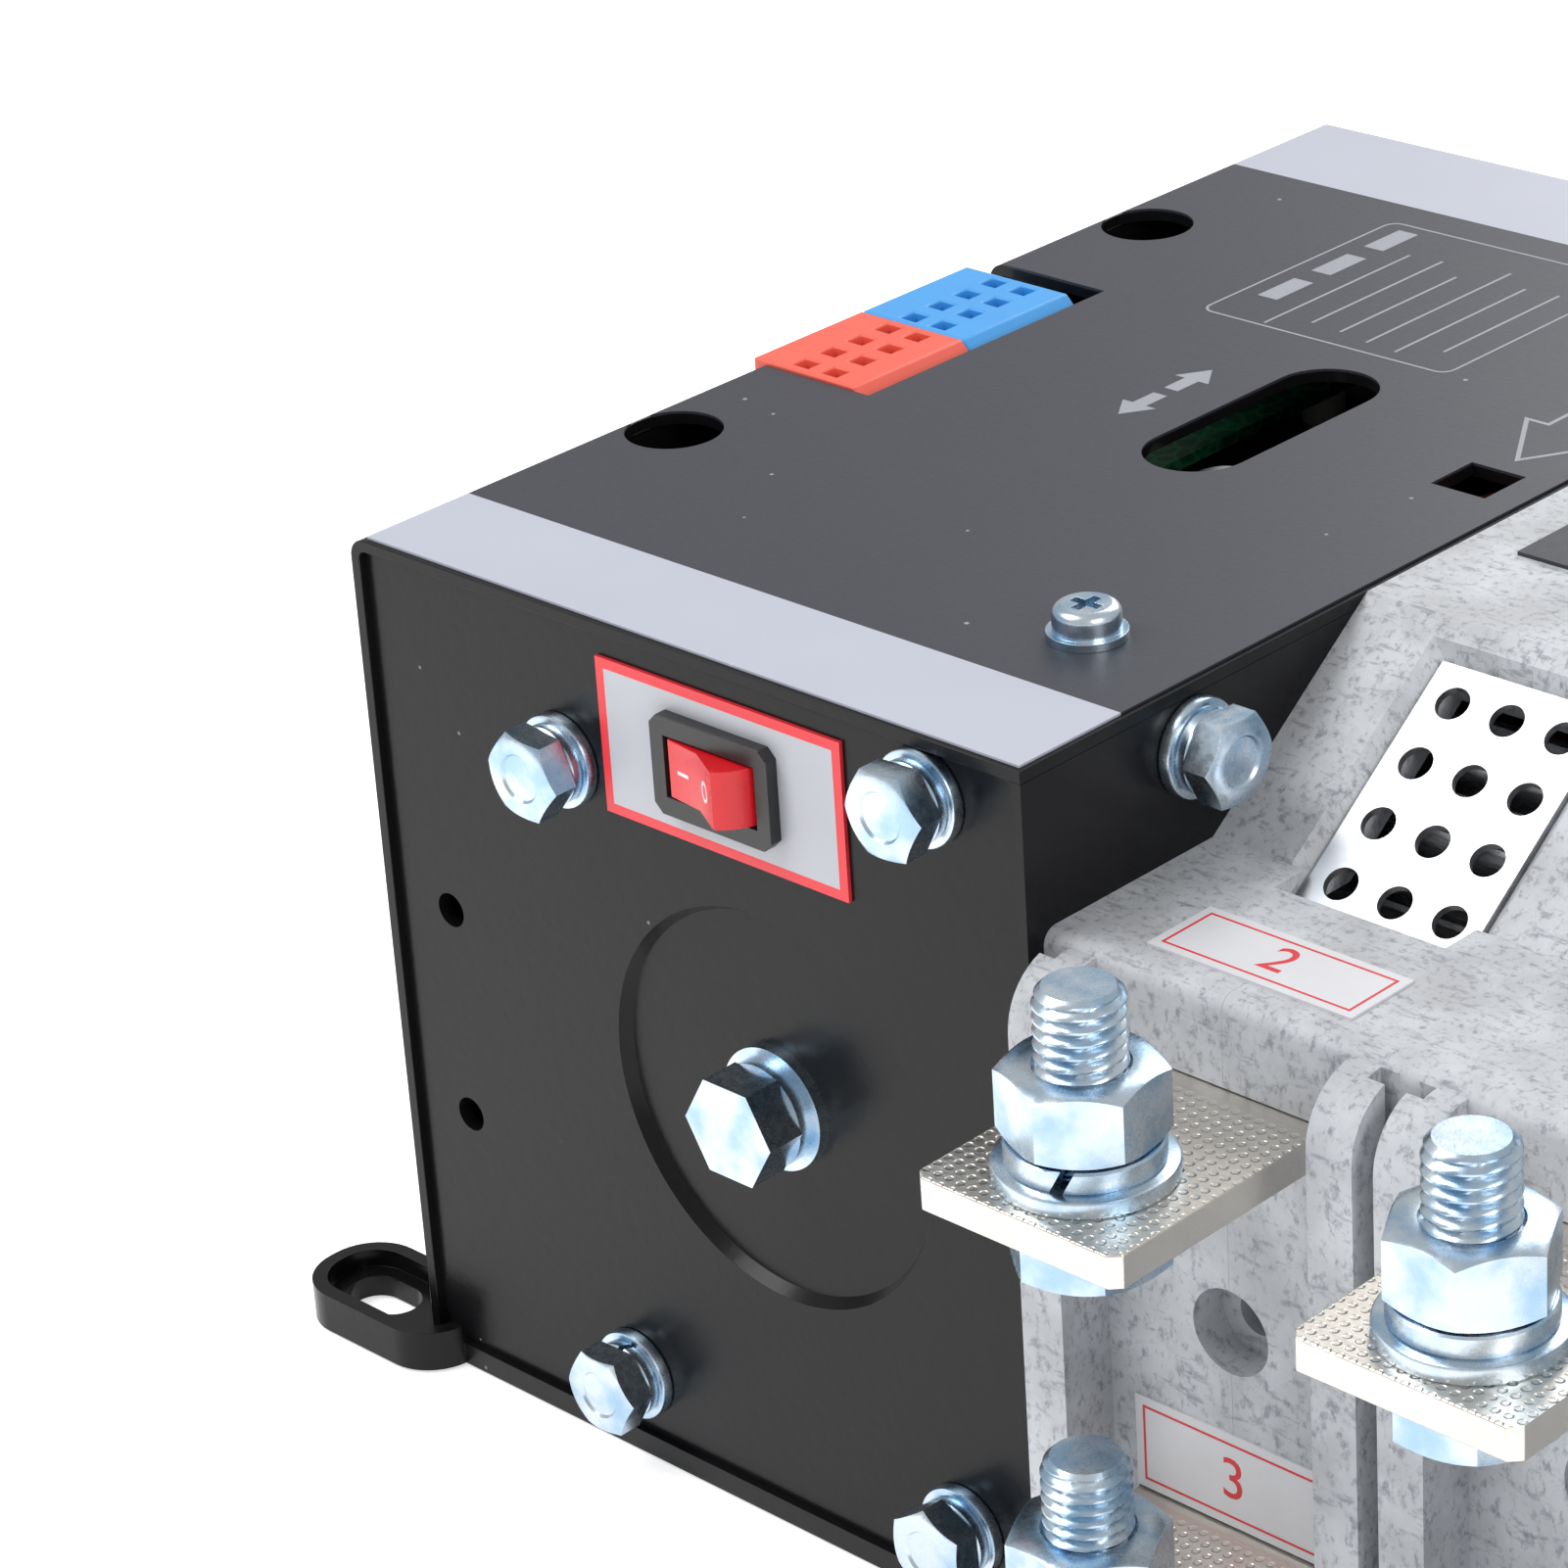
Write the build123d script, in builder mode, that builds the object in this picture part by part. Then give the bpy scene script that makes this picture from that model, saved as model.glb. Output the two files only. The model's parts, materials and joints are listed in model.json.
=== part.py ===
"""Dual-supply transfer switch: a sheet-steel operator box beside three moulded poles.

The row stands on its base plate at Z = 0.  X runs along the row from the operator box to
the poles, Y runs from the front (reserve supply and load) to the rear (normal supply).
The origin is the centre of the four mounting slots.  All sizes are in millimetres.
"""

import math
import os

from build123d import *

os.makedirs("parts", exist_ok=True)

# ---------------------------------------------------------------- overall sizes
box_width = 108.0
box_depth = 183.0
device_height = 114.0
pole_pitch = 50.0
pole_count = 3
base_thickness = 3.0
sheet = 1.5
panel_thickness = 2.0
panel_inset = 1.0
end_plate_thickness = 2.0
running_clearance = 0.05
fixed_clearance = 0.02
seat_gap = 0.15
screw_slack = 0.3
pick_slack = 0.01

# ---------------------------------------------------------------- mounting ears
ear_reach = 21.0
ear_width = 15.0
ear_root = 6.0
ear_corner_radius = 7.0
ear_rim_height = 2.5
ear_rim_width = 2.0
mount_slot_width = 7.0
mount_slot_length = 11.0
mount_slot_from_edge = 11.0
mount_spacing_y = 180.0

# ---------------------------------------------------------------- operator box
corner_radius = 2.5
flange_height = 15.0
flange_end_gap = 0.5
cover_tab_width = 24.0
handle_slot_width = 13.7
handle_slot_length = 38.0
handle_slot_from_poles = 42.3
window_size = 8.0
window_from_poles = 9.2
fuse_hole_diameter = 12.5
fuse_hole_from_left = 8.5
fuse_hole_spread = 45.0
notch_length = 45.0
notch_depth = 20.5
notch_side_drop = 13.0
label_thickness = 0.3
label_margin = 0.8
cover_screw_from_poles = 17.0
cover_screw_spread = 61.2
upper_left_bolt = (34.0, 20.0)
upper_right_bolt = (92.7, 7.5)
lower_left_bolt = (38.0, 11.0)
lower_right_bolt = (92.8, 11.0)
small_hole_diameter = 4.5
small_holes = ((10.8, 66.6), (10.7, 37.9))
recess_centre = (65.0, 57.5)
recess_floor_radius = 24.5
recess_rim_radius = 25.5
recess_depth = 1.5

# ---------------------------------------------------------------- hex bolts of the box
m6_radius = 3.0
m6_hole_radius = 3.3
m6_flats = 10.0
m6_head = 4.0
m6_flat_washer_radius = 5.9
m6_flat_washer = 1.6
m6_spring_washer_radius = 5.0
m6_spring_washer = 1.6
m6_length = 12.0
core_bolt_radius = 4.0
core_bolt_flats = 12.0
core_bolt_head = 5.3
core_bolt_length = 18.0
core_flat_washer_radius = 7.8
core_flat_washer = 1.5
core_spring_washer_radius = 6.6
core_spring_washer = 2.0
side_bolt_spread = 63.5
side_bolt_drop = 7.5

# ---------------------------------------------------------------- mode switch
mode_plate_width = 39.0
mode_plate_height = 19.9
mode_plate_thickness = 0.5
rocker_centre_from_left = 61.0
rocker_centre_drop = 14.5
bezel_width = 18.8
bezel_height = 12.6
bezel_flange = 1.7
bezel_body_width = 16.8
bezel_body_height = 10.2
bezel_body_depth = 17.0
bezel_wall = 0.9
rocker_radius = 7.0
rocker_height = 7.3
rocker_pivot_depth = 2.7
rocker_half_span = 5.36
rocker_end_rise = 1.9
rocker_middle_rise = 0.9
rocker_tilt = 18.0
rocker_gap = 0.25
rocker_pin_radius = 1.2
rocker_well = 2.0
rocker_overhang = 3.0
bezel_chamfer = 1.2

# ---------------------------------------------------------------- control electronics
board_top_drop = 19.9
board_thickness = 1.6
board_width = 31.0
board_edge_gap = 1.0
board_hole_inset = 4.0
standoff_radius = 3.0
standoff_bore = 1.3
board_tab_width = 14.0
board_tab_height = 13.0
board_length = 120.0
standoff_height = 5.0
header_height = 8.0
contact_pitch = 5.08
ways_per_plug = 4
plug_length = 20.3
plug_width = 19.3
plug_proud = 0.4
header_gap = 0.1
wire_hole = 2.6
wire_hole_depth = 4.0
plug_end_gap = 0.2
plug_chamfer = 1.6
header_step = 2.5
pin_slack = 0.6
pin_side = 1.0
pin_height = 6.0
fuse_socket_radius = 7.0
fuse_socket_height = 8.0
fuse_cap_radius = 5.8
fuse_cap_height = 3.8
fuse_barrel_radius = 4.6
fuse_barrel_length = 6.5
fuse_bottom_gap = 0.5
fuse_slot_width = 1.4
fuse_slot_depth = 1.5
fuse_slot_inset = 1.0

# ---------------------------------------------------------------- change-over mechanism
shaft_height = 40.0
shaft_radius = 6.0
shaft_left_reach = 66.0
shaft_right_reach = 3.0
crank_radius = 20.0
lever_half_angle = 20.0
lever_thickness = 4.0
lever_hub_radius = 6.0
lever_arm_width = 9.0
lever_end_play = 0.3
lever_pin_radius = 3.0
drive_pin_radius = 2.5
drive_pin_slack = 0.7
tongue_slack = 0.3
cheek_thickness = 2.0
bracket_inner_width = 24.0
cheek_half_depth = 31.0
cheek_top_half_depth = 10.0
bush_radius = 8.0
bush_flange_radius = 10.0
bush_flange = 1.5
fork_thickness = 4.0
fork_offset = 6.0
fork_reach = 28.0
indicator_radius = 69.0
indicator_flag_thickness = 2.0
indicator_width = 10.0
indicator_spread = 28.0
socket_radius = 6.0
socket_bore = 4.3
socket_start = 12.0
socket_end = 29.0

# ---------------------------------------------------------------- solenoid
core_radius = 8.0
yoke_thickness = 3.0
yoke_width = 30.0
coil_outer_radius = 21.0
coil_inner_radius = 11.0
bobbin_bore_radius = 8.5
bobbin_flange = 3.0
coil_length = 44.0
core_length = 16.0
plunger_nose_gap = 14.8
plunger_length = 38.0
tongue_thickness = 3.0
tongue_offset = 5.9
spring_wire_radius = 0.5
spring_turns = 5
spring_clearance = 1.2
spring_seat_thickness = 2.0

# ---------------------------------------------------------------- poles
wall = 3.0
slope_wall = 5.5
pole_face = 89.0
rib_face = 96.8
rib_width = 6.0
rib_inset = 1.4
shoulder_drop = 20.0
rib_drop = 1.0
shoulder_edge = 60.5
hump_edge = 32.5
barrier_groove_width = 3.6
barrier_groove_thickness = 2.2
screw_pocket_height = 52.7
screw_pocket_radius = 5.3
screw_pocket_depth = 5.0
screw_boss_radius = 8.0
screw_boss_depth = 9.0
screw_hole_radius = 2.75
shoulder_round = 2.0
rib_root = 1.0
shaft_hole_slack = 0.5
tie_rod_radius = 3.0
tie_rod_y = 79.0
tie_rod_heights = (13.0, 66.0)
tie_nut_flats = 10.0
tie_nut_thickness = 5.0
tie_rod_overhang = 6.5

# ---------------------------------------------------------------- vents and arc stacks
vent_width = 23.5
vent_length = 33.9
vent_thickness = 1.0
vent_depth = 1.2
vent_centre_offset = -4.65
vent_bevel = 2.0
vent_hole_diameter = 4.2
vent_columns = 3
vent_rows = 4
vent_column_pitch = 7.5
vent_row_pitch = 8.2
vent_ledge = 2.0
arc_plate_thickness = 1.2
arc_plate_pitch = 4.0
arc_plate_count = 6
arc_first_plate = 35.0
arc_cheek_thickness = 1.5
arc_floor_gap = 1.5
arc_top_gap = 1.0
arc_cheek_top_gap = 0.3
arc_cheek_margin = 2.0

# ---------------------------------------------------------------- terminals
bar_width = 28.0
bar_thickness = 4.0
bar_reach = 122.5
supply_bar_drop = 11.0
load_bar_top = 27.3
supply_stud_y = 111.0
load_stud_y = 113.0
stud_radius = 5.0
stud_shank_relief = 0.3
stud_hole_slack = 0.5
stud_above_bar = 22.0
stud_flats = 16.0
bolt_head = 6.4
flat_washer_radius = 10.0
flat_washer = 2.0
spring_washer_radius = 8.6
spring_washer = 2.6
nut_height = 8.4
contact_tip_thickness = 1.5
contact_tip_size = 11.0
contact_radius = 42.0
arm_half_thickness = 4.0
arm_width = 8.0
ring_radius = 15.0
sleeve_radius = 9.0
sleeve_flange_radius = 12.0
sleeve_flange = 3.0
jaw_thickness = 3.0
jaw_reach = 6.0
jaw_gap = 0.1
jaw_overlap = 8.0
bar_corner = 1.2
leg_overlap = 1.0
arm_end = 0.5
ring_gap = 3.0
sleeve_gap = 1.0
stud_end_chamfer = 0.8

# ---------------------------------------------------------------- name and number plates
pole_plate_half_depth = 14.5
pole_plate_inset = 7.5
pole_plate_thickness = 0.5
sticker_thickness = 0.3
sticker_width = 28.0
sticker_depth = 10.6
sticker_centre_y = 79.3
load_sticker_height = 12.0
load_sticker_gap = 0.3
end_plate_inset = 1.0

# ---------------------------------------------------------------- worked-out places
total_length = box_width + pole_count * pole_pitch + end_plate_thickness
shoulder_height = device_height - shoulder_drop
rib_top = shoulder_height - rib_drop
supply_bar_top = shoulder_height - supply_bar_drop
stud_hole_radius = stud_radius + stud_hole_slack
box_left = -total_length / 2
box_right = box_left + box_width
poles_end = box_right + pole_count * pole_pitch
row_right = total_length / 2
half_depth = box_depth / 2
panel_outside = half_depth - panel_inset
panel_inside = panel_outside - panel_thickness
panel_left = box_left + sheet
panel_right = box_right - sheet
cover_inside = device_height - sheet
label_top = device_height + label_thickness
pole_centres = [box_right + (number + 0.5) * pole_pitch for number in range(pole_count)]
mount_slot_x = total_length / 2 + mount_slot_from_edge
mount_slot_y = mount_spacing_y / 2
slot_x = box_right - handle_slot_from_poles
window_x = box_right - window_from_poles
fuse_x = box_left + fuse_hole_from_left
cover_screw_x = box_right - cover_screw_from_poles
rocker_x = box_left + rocker_centre_from_left
rocker_z = device_height - rocker_centre_drop
core_x = box_left + recess_centre[0]
core_z = recess_centre[1]
recess_floor = panel_outside - recess_depth
recess_back = recess_floor - panel_thickness
lever_pivot_z = shaft_height + 2 * crank_radius
half_travel_y = crank_radius * math.sin(math.radians(lever_half_angle))
crank_drop = crank_radius * math.cos(math.radians(lever_half_angle))
shaft_half_angle = math.degrees(math.atan2(half_travel_y, 2 * crank_radius - crank_drop))
drive_pin_z = lever_pivot_z - crank_drop
slope_angle = math.degrees(math.atan2(device_height - shoulder_height, shoulder_edge - hump_edge))
slope_sine = math.sin(math.radians(slope_angle))
slope_cosine = math.cos(math.radians(slope_angle))
slope_rise = slope_sine / slope_cosine


def front_plane(x, y, z):
    """Plane at a point, facing the front, with its own Y upwards."""
    return Plane(origin=(x, y, z), x_dir=(1, 0, 0), z_dir=(0, -1, 0))


def rear_plane(x, y, z):
    """Plane at a point, facing the rear, with its own Y upwards."""
    return Plane(origin=(x, y, z), x_dir=(-1, 0, 0), z_dir=(0, 1, 0))


def side_plane(x, y, z):
    """Plane at a point, facing the poles, with its own Y upwards."""
    return Plane(origin=(x, y, z), x_dir=(0, 1, 0), z_dir=(1, 0, 0))


def level_plane(x, y, z):
    """Plane at a point, facing up."""
    return Plane(origin=(x, y, z), x_dir=(1, 0, 0), z_dir=(0, 0, 1))


def turned_plane(x, angle):
    """Plane across the shaft at X, turned about the shaft, its own Y along the radius."""
    turn = math.radians(angle)
    return Plane(
        origin=(x, 0, shaft_height),
        x_dir=(0, math.cos(turn), math.sin(turn)),
        z_dir=(1, 0, 0),
    )


def slope_plane(x, side, depth):
    """Plane a depth below a pole's slope; side is -1 for the front and 1 for the rear."""
    middle_y = (shoulder_edge + hump_edge) / 2
    middle_z = (shoulder_height + device_height) / 2
    return Plane(
        origin=(x, side * (middle_y - depth * slope_sine), middle_z - depth * slope_cosine),
        x_dir=(-side, 0, 0),
        z_dir=(0, side * slope_sine, slope_cosine),
    )


def save(part, name):
    """Label a finished piece and write its file."""
    part.label = name
    export_step(part, f"parts/{name}.step")


def hex_bolts(planes, radius, length, flats, head, spacer):
    """Hex bolts whose heads stand a spacer's height off each plane, shanks going inwards."""
    with BuildPart() as bolts:
        with BuildSketch(*[plane.offset(spacer) for plane in planes]):
            RegularPolygon(radius=flats / 2, side_count=6, major_radius=False)
        extrude(amount=head)
        with BuildSketch(*[plane.offset(spacer) for plane in planes]):
            Circle(radius)
        extrude(amount=-length)
    return bolts.part


def rings(planes, outer, inner, height, offset=0.0):
    """Plain rings, such as washers, standing on each plane."""
    with BuildPart() as ring:
        with BuildSketch(*[plane.offset(offset) for plane in planes]):
            Circle(outer)
            Circle(inner, mode=Mode.SUBTRACT)
        extrude(amount=height)
    return ring.part


# ================================================================ base and box
bolt_points = [upper_left_bolt, upper_right_bolt, lower_left_bolt, lower_right_bolt]
lower_points = [lower_left_bolt, lower_right_bolt]


def bolt_z(point):
    """Height of a box bolt: upper bolts hang from the top, lower ones stand on the base."""
    return point[1] if point in lower_points else device_height - point[1]


front_bolt_planes = [
    front_plane(box_left + point[0], -panel_outside, bolt_z(point)) for point in bolt_points
]
rear_bolt_planes = [
    rear_plane(box_left + point[0], panel_outside, bolt_z(point)) for point in bolt_points
]
side_bolt_z = device_height - side_bolt_drop
side_bolt_planes = [
    side_plane(box_right, side * side_bolt_spread, side_bolt_z) for side in (-1, 1)
]
ear_centre_x = total_length / 2 + (ear_reach - ear_root) / 2
ear_length = ear_reach + ear_root
ear_places = [
    (side_x * ear_centre_x, side_y * mount_slot_y) for side_x in (-1, 1) for side_y in (-1, 1)
]
slot_places = [
    (side_x * mount_slot_x, side_y * mount_slot_y) for side_x in (-1, 1) for side_y in (-1, 1)
]
tie_places = [(side * tie_rod_y, height) for side in (-1, 1) for height in tie_rod_heights]
bracket_mid_x = slot_x
bracket_left_x = bracket_mid_x - bracket_inner_width / 2
bracket_right_x = bracket_mid_x + bracket_inner_width / 2
bracket_screw_spread = 24.0
bracket_screw_radius = 2.0
bracket_screw_head_radius = 3.8
bracket_screw_head = 2.6
bracket_screws_at = [(bracket_mid_x, side * bracket_screw_spread) for side in (-1, 1)]

with BuildPart() as base_plate:
    with BuildSketch(Plane.XY):
        Rectangle(total_length, box_depth)
        with Locations(*ear_places):
            RectangleRounded(ear_length, ear_width, ear_corner_radius)
        with Locations(*slot_places):
            SlotOverall(mount_slot_length, mount_slot_width, mode=Mode.SUBTRACT)
        with Locations(*bracket_screws_at):
            Circle(bracket_screw_radius + fixed_clearance, mode=Mode.SUBTRACT)
    extrude(amount=base_thickness)
    with BuildSketch(Plane.XY.offset(base_thickness)):
        with Locations(*ear_places):
            RectangleRounded(ear_length, ear_width, ear_corner_radius)
            RectangleRounded(
                ear_length - 2 * ear_rim_width,
                ear_width - 2 * ear_rim_width,
                ear_corner_radius - ear_rim_width,
                mode=Mode.SUBTRACT,
            )
        Rectangle(total_length + ear_rim_width, box_depth + 2 * seat_gap, mode=Mode.SUBTRACT)
        with Locations((total_length / 2 - ear_root, 0)):
            Rectangle(2 * ear_root + ear_rim_width, 2 * box_depth, mode=Mode.SUBTRACT)
    extrude(amount=ear_rim_height)
    for side in (-1, 1):
        with BuildSketch(Plane.XY.offset(base_thickness)):
            with Locations(((panel_left + panel_right) / 2, side * (panel_inside - panel_thickness / 2))):
                Rectangle(panel_right - panel_left - 2 * flange_end_gap, panel_thickness)
        extrude(amount=flange_height)
    with BuildSketch(*[plane for plane in front_bolt_planes[2:] + rear_bolt_planes[2:]]):
        Circle(m6_radius + fixed_clearance)
    extrude(amount=-3 * panel_thickness, mode=Mode.SUBTRACT)
save(base_plate.part, "base_plate")


def box_panel(planes, with_switch):
    """End panel of the box; the front one has the pressed recess and the switch opening."""
    side = -1 if with_switch else 1
    middle_x = (panel_left + panel_right) / 2
    height = cover_inside - base_thickness
    face = front_plane(middle_x, -panel_outside, base_thickness + height / 2)
    if not with_switch:
        face = rear_plane(middle_x, panel_outside, base_thickness + height / 2)
    with BuildPart() as panel:
        with BuildSketch(face):
            Rectangle(panel_right - panel_left, height)
        extrude(amount=-panel_thickness)
        bend_corner = panel.edges().filter_by(Axis.Y).filter_by(
            lambda edge: edge.center().X < panel_left + pick_slack
            and edge.center().Z > cover_inside - pick_slack
        )
        chamfer(bend_corner, corner_radius - sheet)
        if with_switch:
            with BuildSketch(front_plane(core_x, -panel_outside, core_z)):
                Circle(recess_rim_radius + panel_thickness)
            extrude(amount=-(recess_depth + panel_thickness))
            with BuildSketch(front_plane(core_x, -panel_outside, core_z)):
                Circle(recess_rim_radius)
            with BuildSketch(front_plane(core_x, -recess_floor, core_z)):
                Circle(recess_floor_radius)
            loft(mode=Mode.SUBTRACT)
            with BuildSketch(front_plane(core_x, -recess_floor, core_z)):
                Circle(core_bolt_radius + fixed_clearance)
            extrude(amount=-2 * panel_thickness, mode=Mode.SUBTRACT)
            with BuildSketch(front_plane(rocker_x, -panel_outside, rocker_z)):
                Rectangle(bezel_body_width + 2 * seat_gap, bezel_body_height + 2 * seat_gap)
            extrude(amount=-2 * panel_thickness, mode=Mode.SUBTRACT)
        with BuildSketch(*planes):
            Circle(m6_hole_radius)
        extrude(amount=-2 * panel_thickness, mode=Mode.SUBTRACT)
        for from_left, height_up in small_holes:
            point = (box_left + from_left, side * panel_outside, height_up)
            with BuildSketch(front_plane(*point) if with_switch else rear_plane(*point)):
                Circle(small_hole_diameter / 2)
            extrude(amount=-2 * panel_thickness, mode=Mode.SUBTRACT)
    return panel.part


front_panel = box_panel(front_bolt_planes, True)
save(front_panel, "front_panel")
rear_panel = box_panel(rear_bolt_planes, False)
save(rear_panel, "rear_panel")

with BuildPart() as side_plate:
    with BuildSketch(Plane.YZ.offset(panel_right)):
        with Locations((0, (base_thickness + cover_inside) / 2)):
            Rectangle(box_depth, cover_inside - base_thickness)
        with Locations((0, shaft_height)):
            Circle(bush_radius + fixed_clearance, mode=Mode.SUBTRACT)
        with Locations(*tie_places):
            Circle(tie_rod_radius + fixed_clearance, mode=Mode.SUBTRACT)
    extrude(amount=sheet)
    with BuildSketch(*side_bolt_planes):
        Circle(m6_hole_radius)
    extrude(amount=-2 * sheet, mode=Mode.SUBTRACT)
save(side_plate.part, "side_plate")


def top_openings(height):
    """Outlines of the openings in the cover's top, at a height."""
    with BuildSketch(Plane.XY.offset(height)) as openings:
        with Locations((slot_x, 0)):
            SlotOverall(handle_slot_length, handle_slot_width, rotation=90)
        with Locations((window_x, 0)):
            Rectangle(window_size, window_size)
        with Locations((fuse_x, -fuse_hole_spread), (fuse_x, fuse_hole_spread)):
            Circle(fuse_hole_diameter / 2)
        with Locations((box_left + notch_depth / 2, 0)):
            Rectangle(notch_depth, notch_length)
    return openings.sketch


cover_screw_places = [(cover_screw_x, side * cover_screw_spread) for side in (-1, 1)]
cover_screw_radius = 2.0

with BuildPart() as top_cover:
    with BuildSketch(Plane.XZ.offset(-half_depth)):
        with BuildLine():
            Line((box_left, base_thickness), (box_left, device_height - corner_radius))
            RadiusArc(
                (box_left, device_height - corner_radius),
                (box_left + corner_radius, device_height),
                corner_radius,
            )
            Line((box_left + corner_radius, device_height), (box_right, device_height))
            Line((box_right, device_height), (box_right, cover_inside))
            Line((box_right, cover_inside), (box_left + corner_radius, cover_inside))
            RadiusArc(
                (box_left + corner_radius, cover_inside),
                (box_left + sheet, device_height - corner_radius),
                -(corner_radius - sheet),
            )
            Line((box_left + sheet, device_height - corner_radius), (box_left + sheet, base_thickness))
            Line((box_left + sheet, base_thickness), (box_left, base_thickness))
        make_face()
    extrude(amount=box_depth)
    for plane in (front_bolt_planes[1], rear_bolt_planes[1]):
        with BuildSketch(plane.offset(-panel_thickness)):
            Rectangle(cover_tab_width, 2 * (upper_right_bolt[1] - sheet))
        extrude(amount=-sheet)
        with BuildSketch(plane):
            Circle(m6_radius + fixed_clearance)
        extrude(amount=-3 * panel_thickness, mode=Mode.SUBTRACT)
    extrude(top_openings(cover_inside), amount=sheet, mode=Mode.SUBTRACT)
    with BuildSketch(Plane.XY.offset(cover_inside)):
        with Locations(*cover_screw_places):
            Circle(cover_screw_radius + screw_slack)
    extrude(amount=sheet, mode=Mode.SUBTRACT)
    with BuildSketch(Plane.YZ.offset(box_left)):
        with Locations((0, device_height - notch_side_drop / 2)):
            Rectangle(notch_length, notch_side_drop)
    extrude(amount=corner_radius, mode=Mode.SUBTRACT)
save(top_cover.part, "top_cover")

rail_length = 40.0
rail_width = 26.0
rail_height = 14.0

with BuildPart() as cover_rails:
    for side in (-1, 1):
        with BuildSketch(Plane.XZ.offset(-(side * cover_screw_spread + rail_length / 2))):
            with BuildLine():
                Polyline(
                    (panel_right, cover_inside),
                    (panel_right - rail_width, cover_inside),
                    (panel_right - rail_width, cover_inside - sheet),
                    (panel_right - sheet, cover_inside - sheet),
                    (panel_right - sheet, cover_inside - rail_height),
                    (panel_right, cover_inside - rail_height),
                    close=True,
                )
            make_face()
        extrude(amount=rail_length)
    with BuildSketch(Plane.XY.offset(cover_inside)):
        with Locations(*cover_screw_places):
            Circle(cover_screw_radius + fixed_clearance)
    extrude(amount=-2 * sheet, mode=Mode.SUBTRACT)
    with BuildSketch(*side_bolt_planes):
        Circle(m6_radius + fixed_clearance)
    extrude(amount=-3 * sheet, mode=Mode.SUBTRACT)
save(cover_rails.part, "cover_rails")

with BuildPart() as top_label:
    with BuildSketch(Plane.XY.offset(device_height)):
        with Locations(((box_left + corner_radius + box_right - label_margin) / 2, 0)):
            Rectangle(box_width - corner_radius - label_margin, box_depth - 2 * label_margin)
        with Locations(*cover_screw_places):
            Circle(cover_screw_radius + screw_slack, mode=Mode.SUBTRACT)
    extrude(amount=label_thickness)
    extrude(top_openings(device_height), amount=label_thickness, mode=Mode.SUBTRACT)
save(top_label.part, "top_label")

panel_bolts = hex_bolts(
    front_bolt_planes + rear_bolt_planes + side_bolt_planes,
    m6_radius,
    m6_length,
    m6_flats,
    m6_head,
    m6_flat_washer + m6_spring_washer,
)
save(panel_bolts, "panel_bolts")
box_bolt_planes = front_bolt_planes + rear_bolt_planes + side_bolt_planes
panel_flat_washers = rings(box_bolt_planes, m6_flat_washer_radius, m6_hole_radius, m6_flat_washer)
panel_spring_washers = rings(
    box_bolt_planes,
    m6_spring_washer_radius,
    m6_hole_radius,
    m6_spring_washer - fixed_clearance,
    m6_flat_washer + fixed_clearance,
)
panel_washers = Compound(children=[*panel_flat_washers.solids(), *panel_spring_washers.solids()])
save(panel_washers, "panel_washers")

core_plane = front_plane(core_x, -recess_floor, core_z)
core_bolt = hex_bolts(
    [core_plane],
    core_bolt_radius,
    core_bolt_length,
    core_bolt_flats,
    core_bolt_head,
    core_flat_washer + core_spring_washer,
)
save(core_bolt, "core_bolt")

with BuildPart() as core_washers:
    with BuildSketch(core_plane):
        Circle(core_flat_washer_radius)
        Circle(core_bolt_radius + screw_slack, mode=Mode.SUBTRACT)
    extrude(amount=core_flat_washer)
    with BuildSketch(core_plane.offset(core_flat_washer)):
        Circle(core_spring_washer_radius)
        Circle(core_bolt_radius + screw_slack, mode=Mode.SUBTRACT)
    extrude(amount=core_spring_washer)
save(core_washers.part, "core_washers")

cover_screw_planes = [level_plane(x, y, label_top) for x, y in cover_screw_places]
cover_washer_radius = 4.75
cover_washer = 1.0
cover_head_radius = 4.0
cover_head = 3.1
cover_screw_length = 8.0
cross_slot = 1.2

with BuildPart() as cover_screws:
    with BuildSketch(*[plane.offset(cover_washer) for plane in cover_screw_planes]):
        Circle(cover_head_radius)
    extrude(amount=cover_head)
    fillet(cover_screws.edges().group_by(Axis.Z)[-1], 1.2)
    with BuildSketch(*[plane.offset(cover_washer + cover_head) for plane in cover_screw_planes]):
        Rectangle(cover_head_radius, cross_slot)
        Rectangle(cross_slot, cover_head_radius)
    extrude(amount=-cover_head / 2, mode=Mode.SUBTRACT)
    with BuildSketch(*[plane.offset(cover_washer) for plane in cover_screw_planes]):
        Circle(cover_screw_radius)
    extrude(amount=-cover_screw_length)
    with BuildSketch(*cover_screw_planes):
        Circle(cover_washer_radius)
    extrude(amount=cover_washer)
save(cover_screws.part, "cover_screws")

# ================================================================ mode switch
plate_outside = panel_outside + mode_plate_thickness
bezel_front = plate_outside + bezel_flange

with BuildPart() as mode_plate:
    with BuildSketch(front_plane(rocker_x, -panel_outside, rocker_z)):
        Rectangle(mode_plate_width, mode_plate_height)
        Rectangle(bezel_body_width + 2 * seat_gap, bezel_body_height + 2 * seat_gap, mode=Mode.SUBTRACT)
    extrude(amount=mode_plate_thickness)
save(mode_plate.part, "mode_plate")

rocker_pivot_y = -(bezel_front - rocker_pivot_depth)
rocker_mouth = 2 * (rocker_radius + rocker_gap)

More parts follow.
